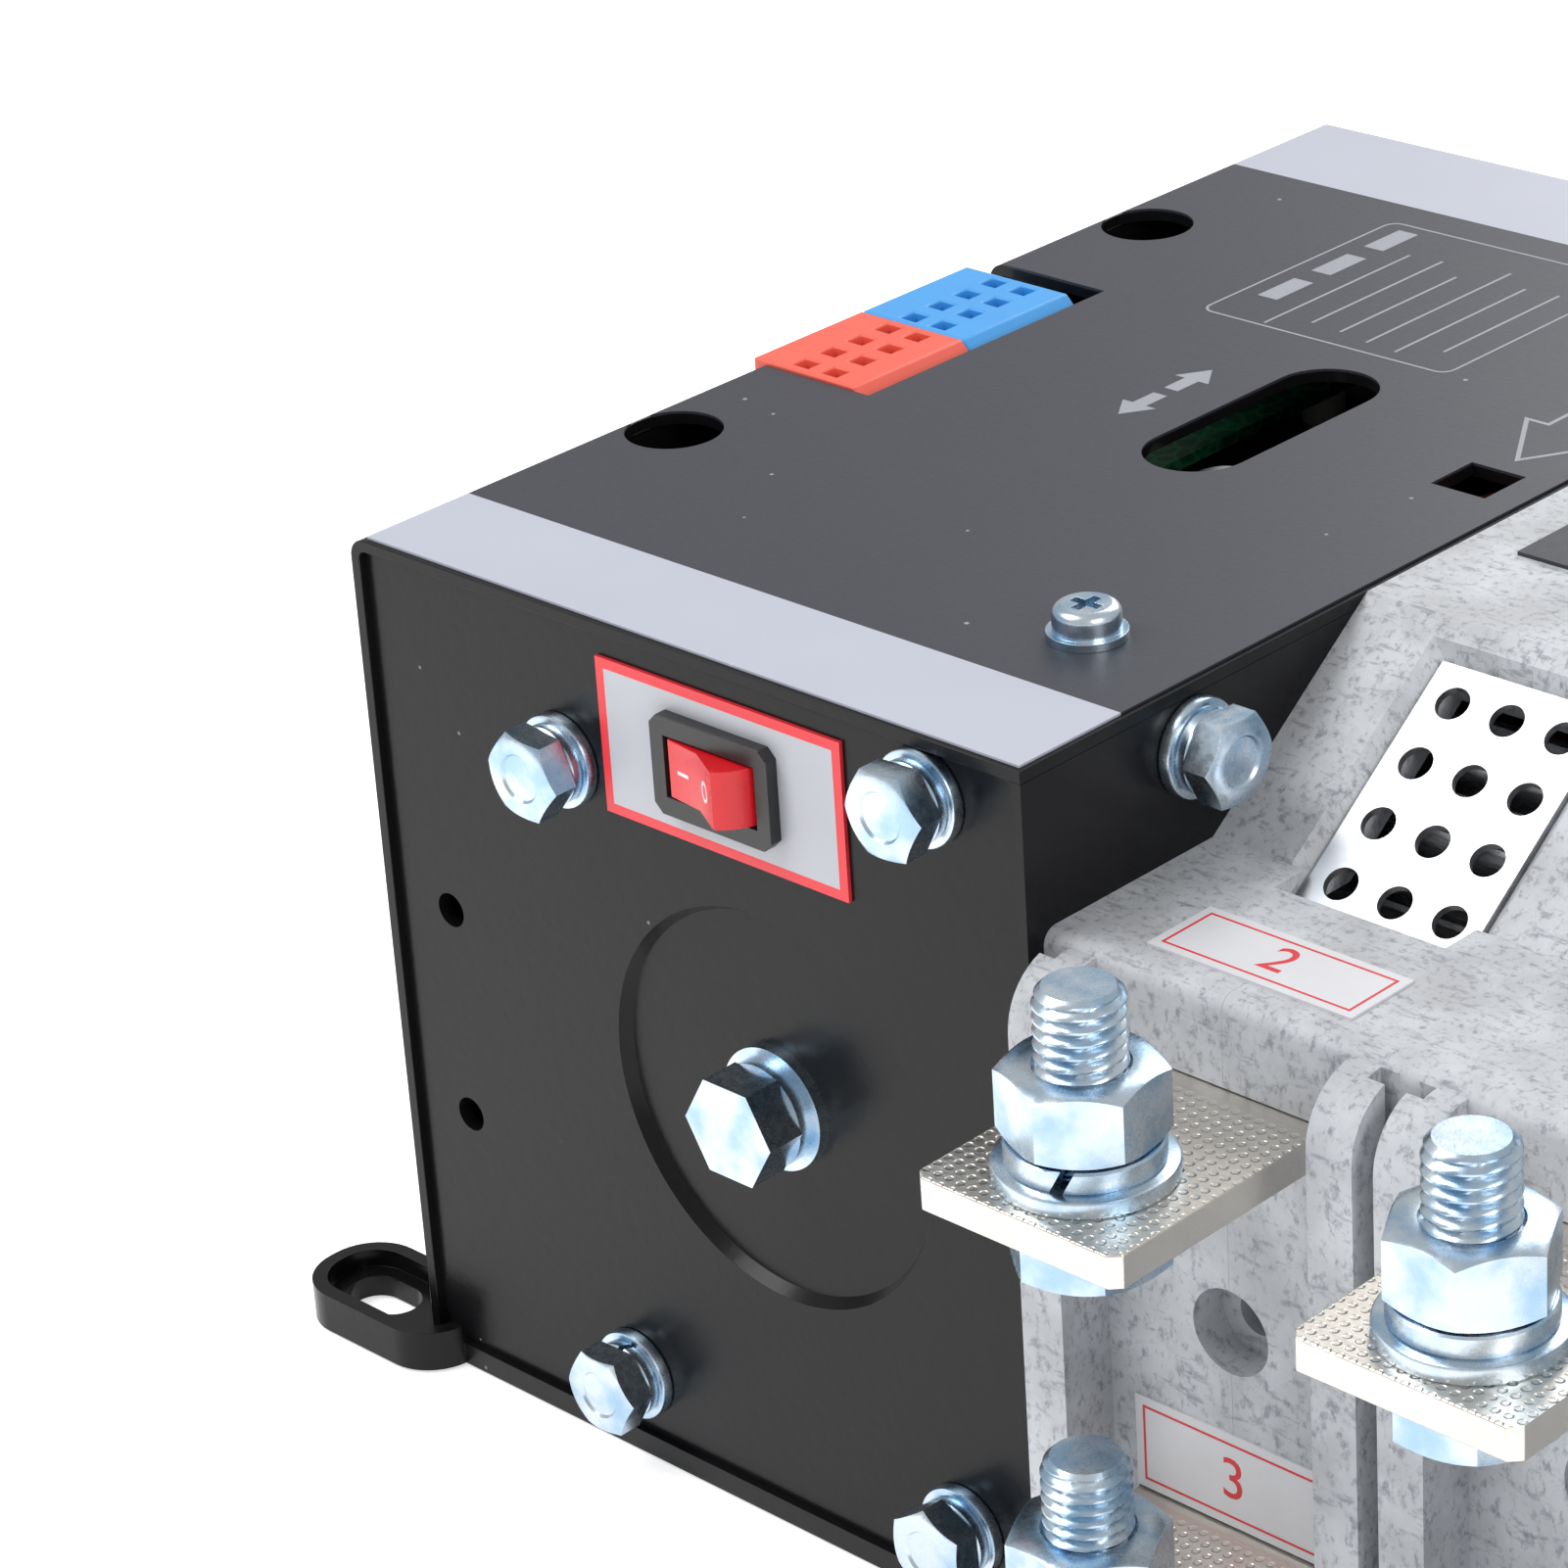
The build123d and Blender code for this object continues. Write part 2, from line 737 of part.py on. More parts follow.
with BuildPart() as rocker_bezel:
    with BuildSketch(front_plane(rocker_x, -plate_outside, rocker_z)):
        Rectangle(bezel_width, bezel_height)
    extrude(amount=bezel_flange)
    chamfer(rocker_bezel.edges().filter_by(Axis.Y), bezel_chamfer)
    with BuildSketch(front_plane(rocker_x, -plate_outside, rocker_z)):
        Rectangle(bezel_body_width, bezel_body_height)
    extrude(amount=-bezel_body_depth)
    with BuildSketch(front_plane(rocker_x, -bezel_front, rocker_z)):
        Rectangle(rocker_mouth, rocker_height + 2 * rocker_gap)
    extrude(amount=-(rocker_pivot_depth + rocker_radius + rocker_well), mode=Mode.SUBTRACT)
    with BuildSketch(Plane.XY.offset(rocker_z - bezel_body_height / 2 + bezel_wall)):
        with Locations((rocker_x, rocker_pivot_y)):
            Circle(rocker_pin_radius)
    extrude(amount=bezel_body_height - 2 * bezel_wall)
save(rocker_bezel.part, "rocker_bezel")

with BuildPart() as rocker_button:
    pivot = (rocker_x, rocker_pivot_y, rocker_z - rocker_height / 2)
    tilt = Plane(origin=pivot).rotated((0, 0, -rocker_tilt))
    with BuildSketch(tilt):
        Circle(rocker_radius)
        with BuildLine(mode=Mode.PRIVATE) as front_outline:
            Polyline(
                (-rocker_half_span - rocker_overhang, -(rocker_pivot_depth + rocker_end_rise)),
                (-rocker_half_span, -(rocker_pivot_depth + rocker_end_rise)),
                (0, -(rocker_pivot_depth + rocker_middle_rise)),
                (rocker_half_span, -(rocker_pivot_depth + rocker_end_rise)),
                (rocker_half_span + rocker_overhang, -(rocker_pivot_depth + rocker_end_rise)),
                (rocker_half_span + rocker_overhang, rocker_radius / 2),
                (-rocker_half_span - rocker_overhang, rocker_radius / 2),
                close=True,
            )
        make_face(front_outline.edges(), mode=Mode.INTERSECT)
        Circle(rocker_pin_radius + running_clearance, mode=Mode.SUBTRACT)
    extrude(amount=rocker_height)
save(rocker_button.part, "rocker_button")

# ================================================================ control electronics
bridge_width = 37.0
bridge_z = device_height - board_top_drop - board_thickness - standoff_height
board_z = bridge_z + standoff_height
board_top = board_z + board_thickness
board_left = panel_left + board_edge_gap
board_mid_x = board_left + board_width / 2
standoff_places = [
    (
        board_mid_x + side_x * (board_width / 2 - board_hole_inset),
        side_y * (board_length / 2 - board_hole_inset),
    )
    for side_x in (-1, 1)
    for side_y in (-1, 1)
]

with BuildPart() as board_bracket:
    with BuildSketch(Plane.XY.offset(bridge_z - sheet)):
        with Locations((board_left + bridge_width / 2, 0)):
            Rectangle(bridge_width, 2 * panel_inside)
    extrude(amount=sheet)
    for side, plane in ((-1, front_bolt_planes[0]), (1, rear_bolt_planes[0])):
        with BuildSketch(Plane.XY.offset(bridge_z)):
            with Locations((box_left + upper_left_bolt[0], side * (panel_inside - sheet / 2))):
                Rectangle(board_tab_width, sheet)
        extrude(amount=board_tab_height)
        with BuildSketch(plane):
            Circle(m6_radius + fixed_clearance)
        extrude(amount=-3 * panel_thickness, mode=Mode.SUBTRACT)
save(board_bracket.part, "board_bracket")

standoff_planes = [level_plane(x, y, bridge_z) for x, y in standoff_places]
board_standoffs = rings(standoff_planes, standoff_radius, standoff_bore, standoff_height)
save(board_standoffs, "board_standoffs")

with BuildPart() as control_board:
    with BuildSketch(Plane.XY.offset(board_z)):
        with Locations((board_mid_x, 0)):
            Rectangle(board_width, board_length)
        with Locations(*standoff_places):
            Circle(standoff_bore, mode=Mode.SUBTRACT)
    extrude(amount=board_thickness)
save(control_board.part, "control_board")

plug_front_edge = -notch_length / 2 + plug_end_gap
plug_bottom = board_top + header_height + header_gap
plug_top = label_top + plug_proud
plug_mid_x = box_left + plug_width / 2
header_length = 2 * plug_length
header_mid_y = plug_front_edge + plug_length


def way_places(first_edge):
    """Centres of a plug's ways: two rows across X, four ways along Y."""
    return [
        (plug_mid_x + row * contact_pitch / 2, first_edge + (way + 0.5) * contact_pitch)
        for row in (-1, 1)
        for way in range(ways_per_plug)
    ]


red_ways = way_places(plug_front_edge)
blue_ways = way_places(plug_front_edge + plug_length)

with BuildPart() as plug_header:
    with BuildSketch(Plane.XY.offset(board_top)):
        with Locations((board_left + (plug_width - header_step) / 2, header_mid_y)):
            Rectangle(plug_width - header_step, header_length)
    extrude(amount=header_height)
    with BuildSketch(Plane.XY.offset(board_top + header_height)):
        with Locations(*(red_ways + blue_ways)):
            Rectangle(pin_side, pin_side)
    extrude(amount=pin_height)
save(plug_header.part, "plug_header")


def pluggable_block(first_edge, ways):
    """Plug with a wire hole over each way and a pin hole under it."""
    with BuildPart() as block:
        with BuildSketch(Plane.XY.offset(plug_bottom)):
            with Locations((plug_mid_x, first_edge + plug_length / 2)):
                Rectangle(plug_width, plug_length - header_gap)
        extrude(amount=plug_top - plug_bottom)
        right_edge = block.edges().filter_by(Axis.Y).sort_by(Axis.Z)[-2:].sort_by(Axis.X)[-1]
        chamfer(right_edge, plug_chamfer)
        with BuildSketch(Plane.XY.offset(plug_top)):
            with Locations(*ways):
                Rectangle(wire_hole, wire_hole)
        extrude(amount=-wire_hole_depth, mode=Mode.SUBTRACT)
        with BuildSketch(Plane.XY.offset(plug_bottom)):
            with Locations(*ways):
                Rectangle(pin_side + pin_slack, pin_side + pin_slack)
        extrude(amount=pin_height + pin_slack, mode=Mode.SUBTRACT)
    return block.part


red_plug = pluggable_block(plug_front_edge, red_ways)
save(red_plug, "red_plug")
blue_plug = pluggable_block(plug_front_edge + plug_length, blue_ways)
save(blue_plug, "blue_plug")

fuse_places = [(fuse_x, -fuse_hole_spread), (fuse_x, fuse_hole_spread)]
fuse_socket_top = board_top + fuse_socket_height

with BuildPart() as fuse_sockets:
    with BuildSketch(Plane.XY.offset(board_top)):
        with Locations(*fuse_places):
            Circle(fuse_socket_radius)
    extrude(amount=fuse_socket_height)
    with BuildSketch(Plane.XY.offset(fuse_socket_top)):
        with Locations(*fuse_places):
            Circle(fuse_barrel_radius + running_clearance)
    extrude(amount=-(fuse_barrel_length + fuse_bottom_gap), mode=Mode.SUBTRACT)
save(fuse_sockets.part, "fuse_sockets")


def fuse_carrier(x, y):
    """Screwdriver-slotted cap with the fuse barrel under it."""
    with BuildPart() as carrier:
        with BuildSketch(Plane.XY.offset(fuse_socket_top + seat_gap)):
            with Locations((x, y)):
                Circle(fuse_cap_radius)
        extrude(amount=fuse_cap_height)
        with BuildSketch(Plane.XY.offset(fuse_socket_top + seat_gap + fuse_cap_height)):
            with Locations((x, y)):
                Rectangle(2 * (fuse_cap_radius - fuse_slot_inset), fuse_slot_width)
        extrude(amount=-fuse_slot_depth, mode=Mode.SUBTRACT)
        with BuildSketch(Plane.XY.offset(fuse_socket_top + seat_gap)):
            with Locations((x, y)):
                Circle(fuse_barrel_radius)
        extrude(amount=-fuse_barrel_length)
    return carrier.part


front_fuse_carrier = fuse_carrier(*fuse_places[0])
save(front_fuse_carrier, "front_fuse_carrier")
rear_fuse_carrier = fuse_carrier(*fuse_places[1])
save(rear_fuse_carrier, "rear_fuse_carrier")

# ================================================================ solenoid
coil_wrap_gap = 1.0
yoke_front = -recess_back
coil_front = yoke_front + yoke_thickness
coil_rear = coil_front + coil_length
yoke_rear = coil_rear + yoke_thickness
yoke_half_height = coil_outer_radius + yoke_thickness
core_end = coil_front + core_length
plunger_nose = core_end + plunger_nose_gap
plunger_end = plunger_nose + plunger_length
spring_front = yoke_rear
spring_rear = plunger_end - spring_seat_thickness


def coil_plane(y):
    """Plane across the solenoid's axis, facing the rear."""
    return rear_plane(core_x, y, core_z)


with BuildPart() as solenoid_yoke:
    with BuildSketch(Plane.YZ.offset(core_x - yoke_width / 2)):
        with Locations(((yoke_front + yoke_rear) / 2, core_z)):
            Rectangle(yoke_rear - yoke_front, 2 * yoke_half_height)
            Rectangle(coil_length, 2 * coil_outer_radius, mode=Mode.SUBTRACT)
    extrude(amount=yoke_width)
    with BuildSketch(coil_plane(yoke_front)):
        Circle(core_bolt_radius + fixed_clearance)
    extrude(amount=yoke_thickness, mode=Mode.SUBTRACT)
    with BuildSketch(coil_plane(coil_rear)):
        Circle(core_radius + running_clearance)
    extrude(amount=yoke_thickness, mode=Mode.SUBTRACT)
save(solenoid_yoke.part, "solenoid_yoke")

with BuildPart() as solenoid_core:
    with BuildSketch(coil_plane(coil_front)):
        Circle(core_radius)
    extrude(amount=core_length)
    with BuildSketch(coil_plane(coil_front)):
        Circle(core_bolt_radius + fixed_clearance)
    extrude(amount=core_bolt_length - recess_depth - yoke_thickness, mode=Mode.SUBTRACT)
save(solenoid_core.part, "solenoid_core")

with BuildPart() as solenoid_bobbin:
    with BuildSketch(coil_plane(coil_front)):
        Circle(coil_inner_radius)
    extrude(amount=coil_length)
    with BuildSketch(coil_plane(coil_front), coil_plane(coil_rear - bobbin_flange)):
        Circle(coil_outer_radius - seat_gap)
    extrude(amount=bobbin_flange)
    with BuildSketch(coil_plane(coil_front)):
        Circle(bobbin_bore_radius)
    extrude(amount=coil_length, mode=Mode.SUBTRACT)
save(solenoid_bobbin.part, "solenoid_bobbin")

solenoid_coil = rings(
    [coil_plane(coil_front + bobbin_flange)],
    coil_outer_radius - coil_wrap_gap,
    coil_inner_radius + fixed_clearance,
    coil_length - 2 * bobbin_flange,
)
save(solenoid_coil, "solenoid_coil")

tongue_left = core_x + tongue_offset - tongue_thickness / 2
tongue_half_height = 9.0
tongue_root = 4.0
tongue_front = plunger_end - tongue_root
tongue_beyond_pin = 7.0
tongue_rear = half_travel_y + tongue_beyond_pin
tongue_slot_height = 10.0

with BuildPart() as plunger:
    with BuildSketch(coil_plane(plunger_nose)):
        Circle(core_radius)
    extrude(amount=plunger_length)
    with BuildSketch(coil_plane(plunger_end)):
        Circle(coil_inner_radius)
    extrude(amount=-spring_seat_thickness)
    with BuildSketch(Plane.YZ.offset(tongue_left)):
        with Locations(((tongue_front + tongue_rear) / 2, shaft_height + crank_radius)):
            Rectangle(tongue_rear - tongue_front, 2 * tongue_half_height)
    extrude(amount=tongue_thickness)
    with BuildSketch(Plane.YZ.offset(tongue_left)):
        with Locations((half_travel_y, (drive_pin_z + shaft_height + crank_radius) / 2)):
            SlotOverall(
                tongue_slot_height + 2 * drive_pin_radius,
                2 * (drive_pin_radius + tongue_slack),
                rotation=90,
            )
    extrude(amount=tongue_thickness, mode=Mode.SUBTRACT)
save(plunger.part, "plunger")

spring_radius = core_radius + spring_clearance + spring_wire_radius
spring_length = spring_rear - spring_front - 2 * spring_wire_radius

with BuildPart() as return_spring:
    with BuildLine() as spring_line:
        Helix(
            pitch=spring_length / spring_turns,
            height=spring_length,
            radius=spring_radius,
            center=(core_x, spring_front + spring_wire_radius, core_z),
            direction=(0, 1, 0),
        )
    with BuildSketch(Plane(origin=spring_line.line @ 0, z_dir=spring_line.line % 0)):
        Circle(spring_wire_radius)
    sweep(path=spring_line.line, is_frenet=True)
save(return_spring.part, "return_spring")

# ================================================================ change-over mechanism
cheek_shoulder = 50.0
cheek_over_pin = 10.0
cheek_top = lever_pivot_z + cheek_over_pin
foot_thickness = 2.0
screw_end_gap = 0.5
left_cheek_outside = bracket_left_x - cheek_thickness
right_cheek_outside = bracket_right_x + cheek_thickness

with BuildPart() as lever_bracket:
    for cheek_x in (left_cheek_outside, bracket_right_x):
        with BuildSketch(Plane.YZ.offset(cheek_x)):
            with BuildLine():
                Polyline(
                    (-cheek_half_depth, base_thickness),
                    (cheek_half_depth, base_thickness),
                    (cheek_half_depth, cheek_shoulder),
                    (cheek_top_half_depth, cheek_top),
                    (-cheek_top_half_depth, cheek_top),
                    (-cheek_half_depth, cheek_shoulder),
                    close=True,
                )
            make_face()
        extrude(amount=cheek_thickness)
    with BuildSketch(Plane.XY.offset(base_thickness)):
        with Locations((bracket_mid_x, 0)):
            Rectangle(bracket_inner_width + 2 * cheek_thickness, 2 * cheek_half_depth)
    extrude(amount=foot_thickness)
    with BuildSketch(Plane.YZ.offset(left_cheek_outside)):
        with Locations((0, shaft_height)):
            Circle(bush_radius + fixed_clearance)
        with Locations((0, lever_pivot_z)):
            Circle(lever_pin_radius + fixed_clearance)
    extrude(amount=bracket_inner_width + 2 * cheek_thickness, mode=Mode.SUBTRACT)
    with BuildSketch(Plane.XY.offset(base_thickness)):
        with Locations(*bracket_screws_at):
            Circle(bracket_screw_radius + fixed_clearance)
    extrude(amount=foot_thickness, mode=Mode.SUBTRACT)
save(lever_bracket.part, "lever_bracket")

with BuildPart() as bracket_screws:
    with BuildSketch(Plane.XY.offset(base_thickness + foot_thickness)):
        with Locations(*bracket_screws_at):
            Circle(bracket_screw_head_radius)
    extrude(amount=bracket_screw_head)
    with BuildSketch(Plane.XY.offset(base_thickness + foot_thickness)):
        with Locations(*bracket_screws_at):
            Circle(bracket_screw_radius)
    extrude(amount=-(foot_thickness + base_thickness - screw_end_gap))
save(bracket_screws.part, "bracket_screws")

pin_head_radius = 4.5
pin_head = 1.5

with BuildPart() as lever_pin:
    with BuildSketch(Plane.YZ.offset(left_cheek_outside - pin_head)):
        with Locations((0, lever_pivot_z)):
            Circle(lever_pin_radius)
    extrude(amount=right_cheek_outside - left_cheek_outside + 2 * pin_head)
    with BuildSketch(Plane.YZ.offset(left_cheek_outside - pin_head), Plane.YZ.offset(right_cheek_outside)):
        with Locations((0, lever_pivot_z)):
            Circle(pin_head_radius)
    extrude(amount=pin_head)
save(lever_pin.part, "lever_pin")

lever_turn = math.radians(lever_half_angle)
lever_up = (0, -math.sin(lever_turn), math.cos(lever_turn))
lever_across = (0, math.cos(lever_turn), math.sin(lever_turn))


def lever_plane(x):
    """Plane across the lever pin at X, its own Y along the lever's upper arm."""
    return Plane(origin=(x, 0, lever_pivot_z), x_dir=lever_across, z_dir=(1, 0, 0))


def lever_end_plane(reach):
    """Plane square to the lever's upper arm, a reach above its pin."""
    return Plane(
        origin=(slot_x, reach * lever_up[1], lever_pivot_z + reach * lever_up[2]),
        x_dir=(1, 0, 0),
        z_dir=lever_up,
    )


with BuildPart() as operating_lever:
    with BuildSketch(lever_plane(slot_x - lever_thickness / 2)):
        with Locations((0, (socket_start - crank_radius) / 2)):
            Rectangle(lever_arm_width, socket_start + crank_radius)
        with Locations((0, -crank_radius)):
            Circle(lever_arm_width / 2)
    extrude(amount=lever_thickness)
    with BuildSketch(lever_plane(bracket_left_x + lever_end_play)):
        Circle(lever_hub_radius)
    extrude(amount=bracket_inner_width - 2 * lever_end_play)
    with BuildSketch(lever_end_plane(socket_start)):
        Circle(socket_radius)
    extrude(amount=socket_end - socket_start)
    with BuildSketch(lever_end_plane(socket_end)):
        Circle(socket_bore)
    extrude(amount=-(socket_end - socket_start - lever_thickness), mode=Mode.SUBTRACT)
    with BuildSketch(lever_plane(bracket_left_x)):
        Circle(lever_pin_radius + running_clearance)
        with Locations((0, -crank_radius)):
            Circle(drive_pin_radius + fixed_clearance)
    extrude(amount=bracket_inner_width, mode=Mode.SUBTRACT)
save(operating_lever.part, "operating_lever")

drive_pin_half_length = 9.5

with BuildPart() as drive_pin:
    with BuildSketch(lever_plane(slot_x - drive_pin_half_length)):
        with Locations((0, -crank_radius)):
            Circle(drive_pin_radius)
    extrude(amount=2 * drive_pin_half_length)
save(drive_pin.part, "drive_pin")

rest_angle = -shaft_half_angle
cam_width = 5.0
cam_lobe = 10.0
cam_base = 8.0
cam_gap = 0.5
cam_left = left_cheek_outside - bush_flange - cam_gap - cam_width
shaft_left = box_right - shaft_left_reach
shaft_right = row_right + shaft_right_reach

with BuildPart() as main_shaft:
    with BuildSketch(turned_plane(shaft_left, rest_angle)):
        Circle(shaft_radius)
    extrude(amount=shaft_right - shaft_left)
    with BuildSketch(turned_plane(cam_left, rest_angle)):
        Ellipse(cam_lobe, cam_base)
    extrude(amount=cam_width)
save(main_shaft.part, "main_shaft")


def flanged_bush(plate_left, plate_thickness, flange_side):
    """Bush in a plate, its flange on the left (-1) or the right (1) of the plate."""
    flange_left = plate_left - bush_flange if flange_side < 0 else plate_left + plate_thickness
    with BuildPart() as bush:
        with BuildSketch(turned_plane(plate_left, 0)):
            Circle(bush_radius)
        extrude(amount=plate_thickness)
        with BuildSketch(turned_plane(flange_left, 0)):
            Circle(bush_flange_radius)
        extrude(amount=bush_flange)
        with BuildSketch(turned_plane(plate_left - bush_flange, 0)):
            Circle(shaft_radius + running_clearance)
        extrude(amount=plate_thickness + 2 * bush_flange, mode=Mode.SUBTRACT)
    return bush.part


with BuildPart() as shaft_bearings:
    add(flanged_bush(left_cheek_outside, cheek_thickness, -1))
    add(flanged_bush(panel_right, sheet, -1))
    add(flanged_bush(poles_end, end_plate_thickness, 1))
save(shaft_bearings.part, "shaft_bearings")

fork_hub_radius = 11.0
fork_width = 15.0
fork_slot_start = 15.0
fork_left = slot_x - fork_offset - fork_thickness / 2

with BuildPart() as fork_arm:
    with BuildSketch(turned_plane(fork_left, rest_angle)):
        with Locations((0, fork_reach / 2)):
            Rectangle(fork_width, fork_reach)
        with Locations((0, (fork_slot_start + fork_reach) / 2)):
            Rectangle(
                2 * (drive_pin_radius + drive_pin_slack),
                fork_reach - fork_slot_start,
                mode=Mode.SUBTRACT,
            )
        Circle(fork_hub_radius)
    extrude(amount=fork_thickness)
    with BuildSketch(turned_plane(bracket_left_x + lever_end_play, rest_angle)):
        Circle(fork_hub_radius)
    extrude(amount=fork_left - bracket_left_x - lever_end_play)
    with BuildSketch(turned_plane(bracket_left_x, rest_angle)):
        Circle(shaft_radius + fixed_clearance)
    extrude(amount=bracket_inner_width / 2, mode=Mode.SUBTRACT)
save(fork_arm.part, "fork_arm")

indicator_arm_width = 8.0
indicator_arm_thickness = 3.0
indicator_hub_radius = 10.0
indicator_root = 1.0
indicator_inner_radius = indicator_radius - indicator_flag_thickness
flag_sine = math.sin(math.radians(indicator_spread))
flag_cosine = math.cos(math.radians(indicator_spread))

with BuildPart() as position_indicator:
    with BuildSketch(turned_plane(window_x - indicator_width / 2, rest_angle)):
        with BuildLine():
            ThreePointArc(
                (-indicator_radius * flag_sine, indicator_radius * flag_cosine),
                (0, indicator_radius),
                (indicator_radius * flag_sine, indicator_radius * flag_cosine),
            )
            Line(
                (indicator_radius * flag_sine, indicator_radius * flag_cosine),
                (indicator_inner_radius * flag_sine, indicator_inner_radius * flag_cosine),
            )
            ThreePointArc(
                (indicator_inner_radius * flag_sine, indicator_inner_radius * flag_cosine),
                (0, indicator_inner_radius),
                (-indicator_inner_radius * flag_sine, indicator_inner_radius * flag_cosine),
            )
            Line(
                (-indicator_inner_radius * flag_sine, indicator_inner_radius * flag_cosine),
                (-indicator_radius * flag_sine, indicator_radius * flag_cosine),
            )
        make_face()
        Circle(indicator_hub_radius)
    extrude(amount=indicator_width)
    with BuildSketch(turned_plane(window_x - indicator_arm_thickness / 2, rest_angle)):
        with Locations((0, (indicator_inner_radius + indicator_root) / 2)):
            Rectangle(indicator_arm_width, indicator_inner_radius + indicator_root)
    extrude(amount=indicator_arm_thickness)
    with BuildSketch(turned_plane(window_x - indicator_width / 2, rest_angle)):
        Circle(shaft_radius + fixed_clearance)
    extrude(amount=indicator_width, mode=Mode.SUBTRACT)
save(position_indicator.part, "position_indicator")

switch_length = 20.0
switch_height = 10.0
switch_thickness = 6.4
switch_start = 12.5
button_reach = 1.5
button_width = 2.0
button_height = 2.4

with BuildPart() as limit_switches:
    with BuildSketch(Plane.YZ.offset(left_cheek_outside - switch_thickness)):
        with Locations(*[(side * (switch_start + switch_length / 2), shaft_height) for side in (-1, 1)]):
            Rectangle(switch_length, switch_height)
    extrude(amount=switch_thickness)
    with BuildSketch(Plane.YZ.offset(left_cheek_outside - (switch_thickness + button_width) / 2)):
        with Locations(*[(side * (switch_start - button_reach / 2), shaft_height) for side in (-1, 1)]):
            Rectangle(button_reach, button_height)
    extrude(amount=button_width)
save(limit_switches.part, "limit_switches")

# ================================================================ poles
inner_rise = slope_wall / slope_cosine


def inner_slope(y):
    """Height of the slope's inner surface at a distance from the middle plane."""
    return shoulder_height + (shoulder_edge - y) * slope_rise - inner_rise


def slope_y(height):
    """Distance from the middle plane at which the slope's inner surface has a height."""
    return shoulder_edge - (height + inner_rise - shoulder_height) / slope_rise


def mirrored(points):
    """Outline of a shape that is the same front and rear, from its rear half."""
    return [(-y, z) for y, z in points] + [(y, z) for y, z in reversed(points)]


def pole_outline(inset):
    """Outline of a pole across the row, drawn in by an inset."""
    return mirrored(
        [
            (pole_face - inset, base_thickness),
            (pole_face - inset, shoulder_height - inset),
            (shoulder_edge - inset * slope_rise / 2, shoulder_height - inset),
            (hump_edge - inset * slope_rise / 2, device_height - inset),
        ]
    )


cavity_top = device_height - wall
cavity_shoulder = shoulder_height - wall
cavity_outline = mirrored(
    [
        (pole_face - wall, base_thickness + wall),
        (pole_face - wall, cavity_shoulder),
        (slope_y(cavity_shoulder), cavity_shoulder),
        (slope_y(cavity_top), cavity_top),
    ]
)
rib_round = rib_face - pole_face
rib_back = pole_face - rib_root
vent_taper = math.degrees(math.atan2(vent_bevel, vent_depth + vent_thickness))
bar_places = [(-1, supply_bar_top), (1, supply_bar_top), (-1, load_bar_top)]


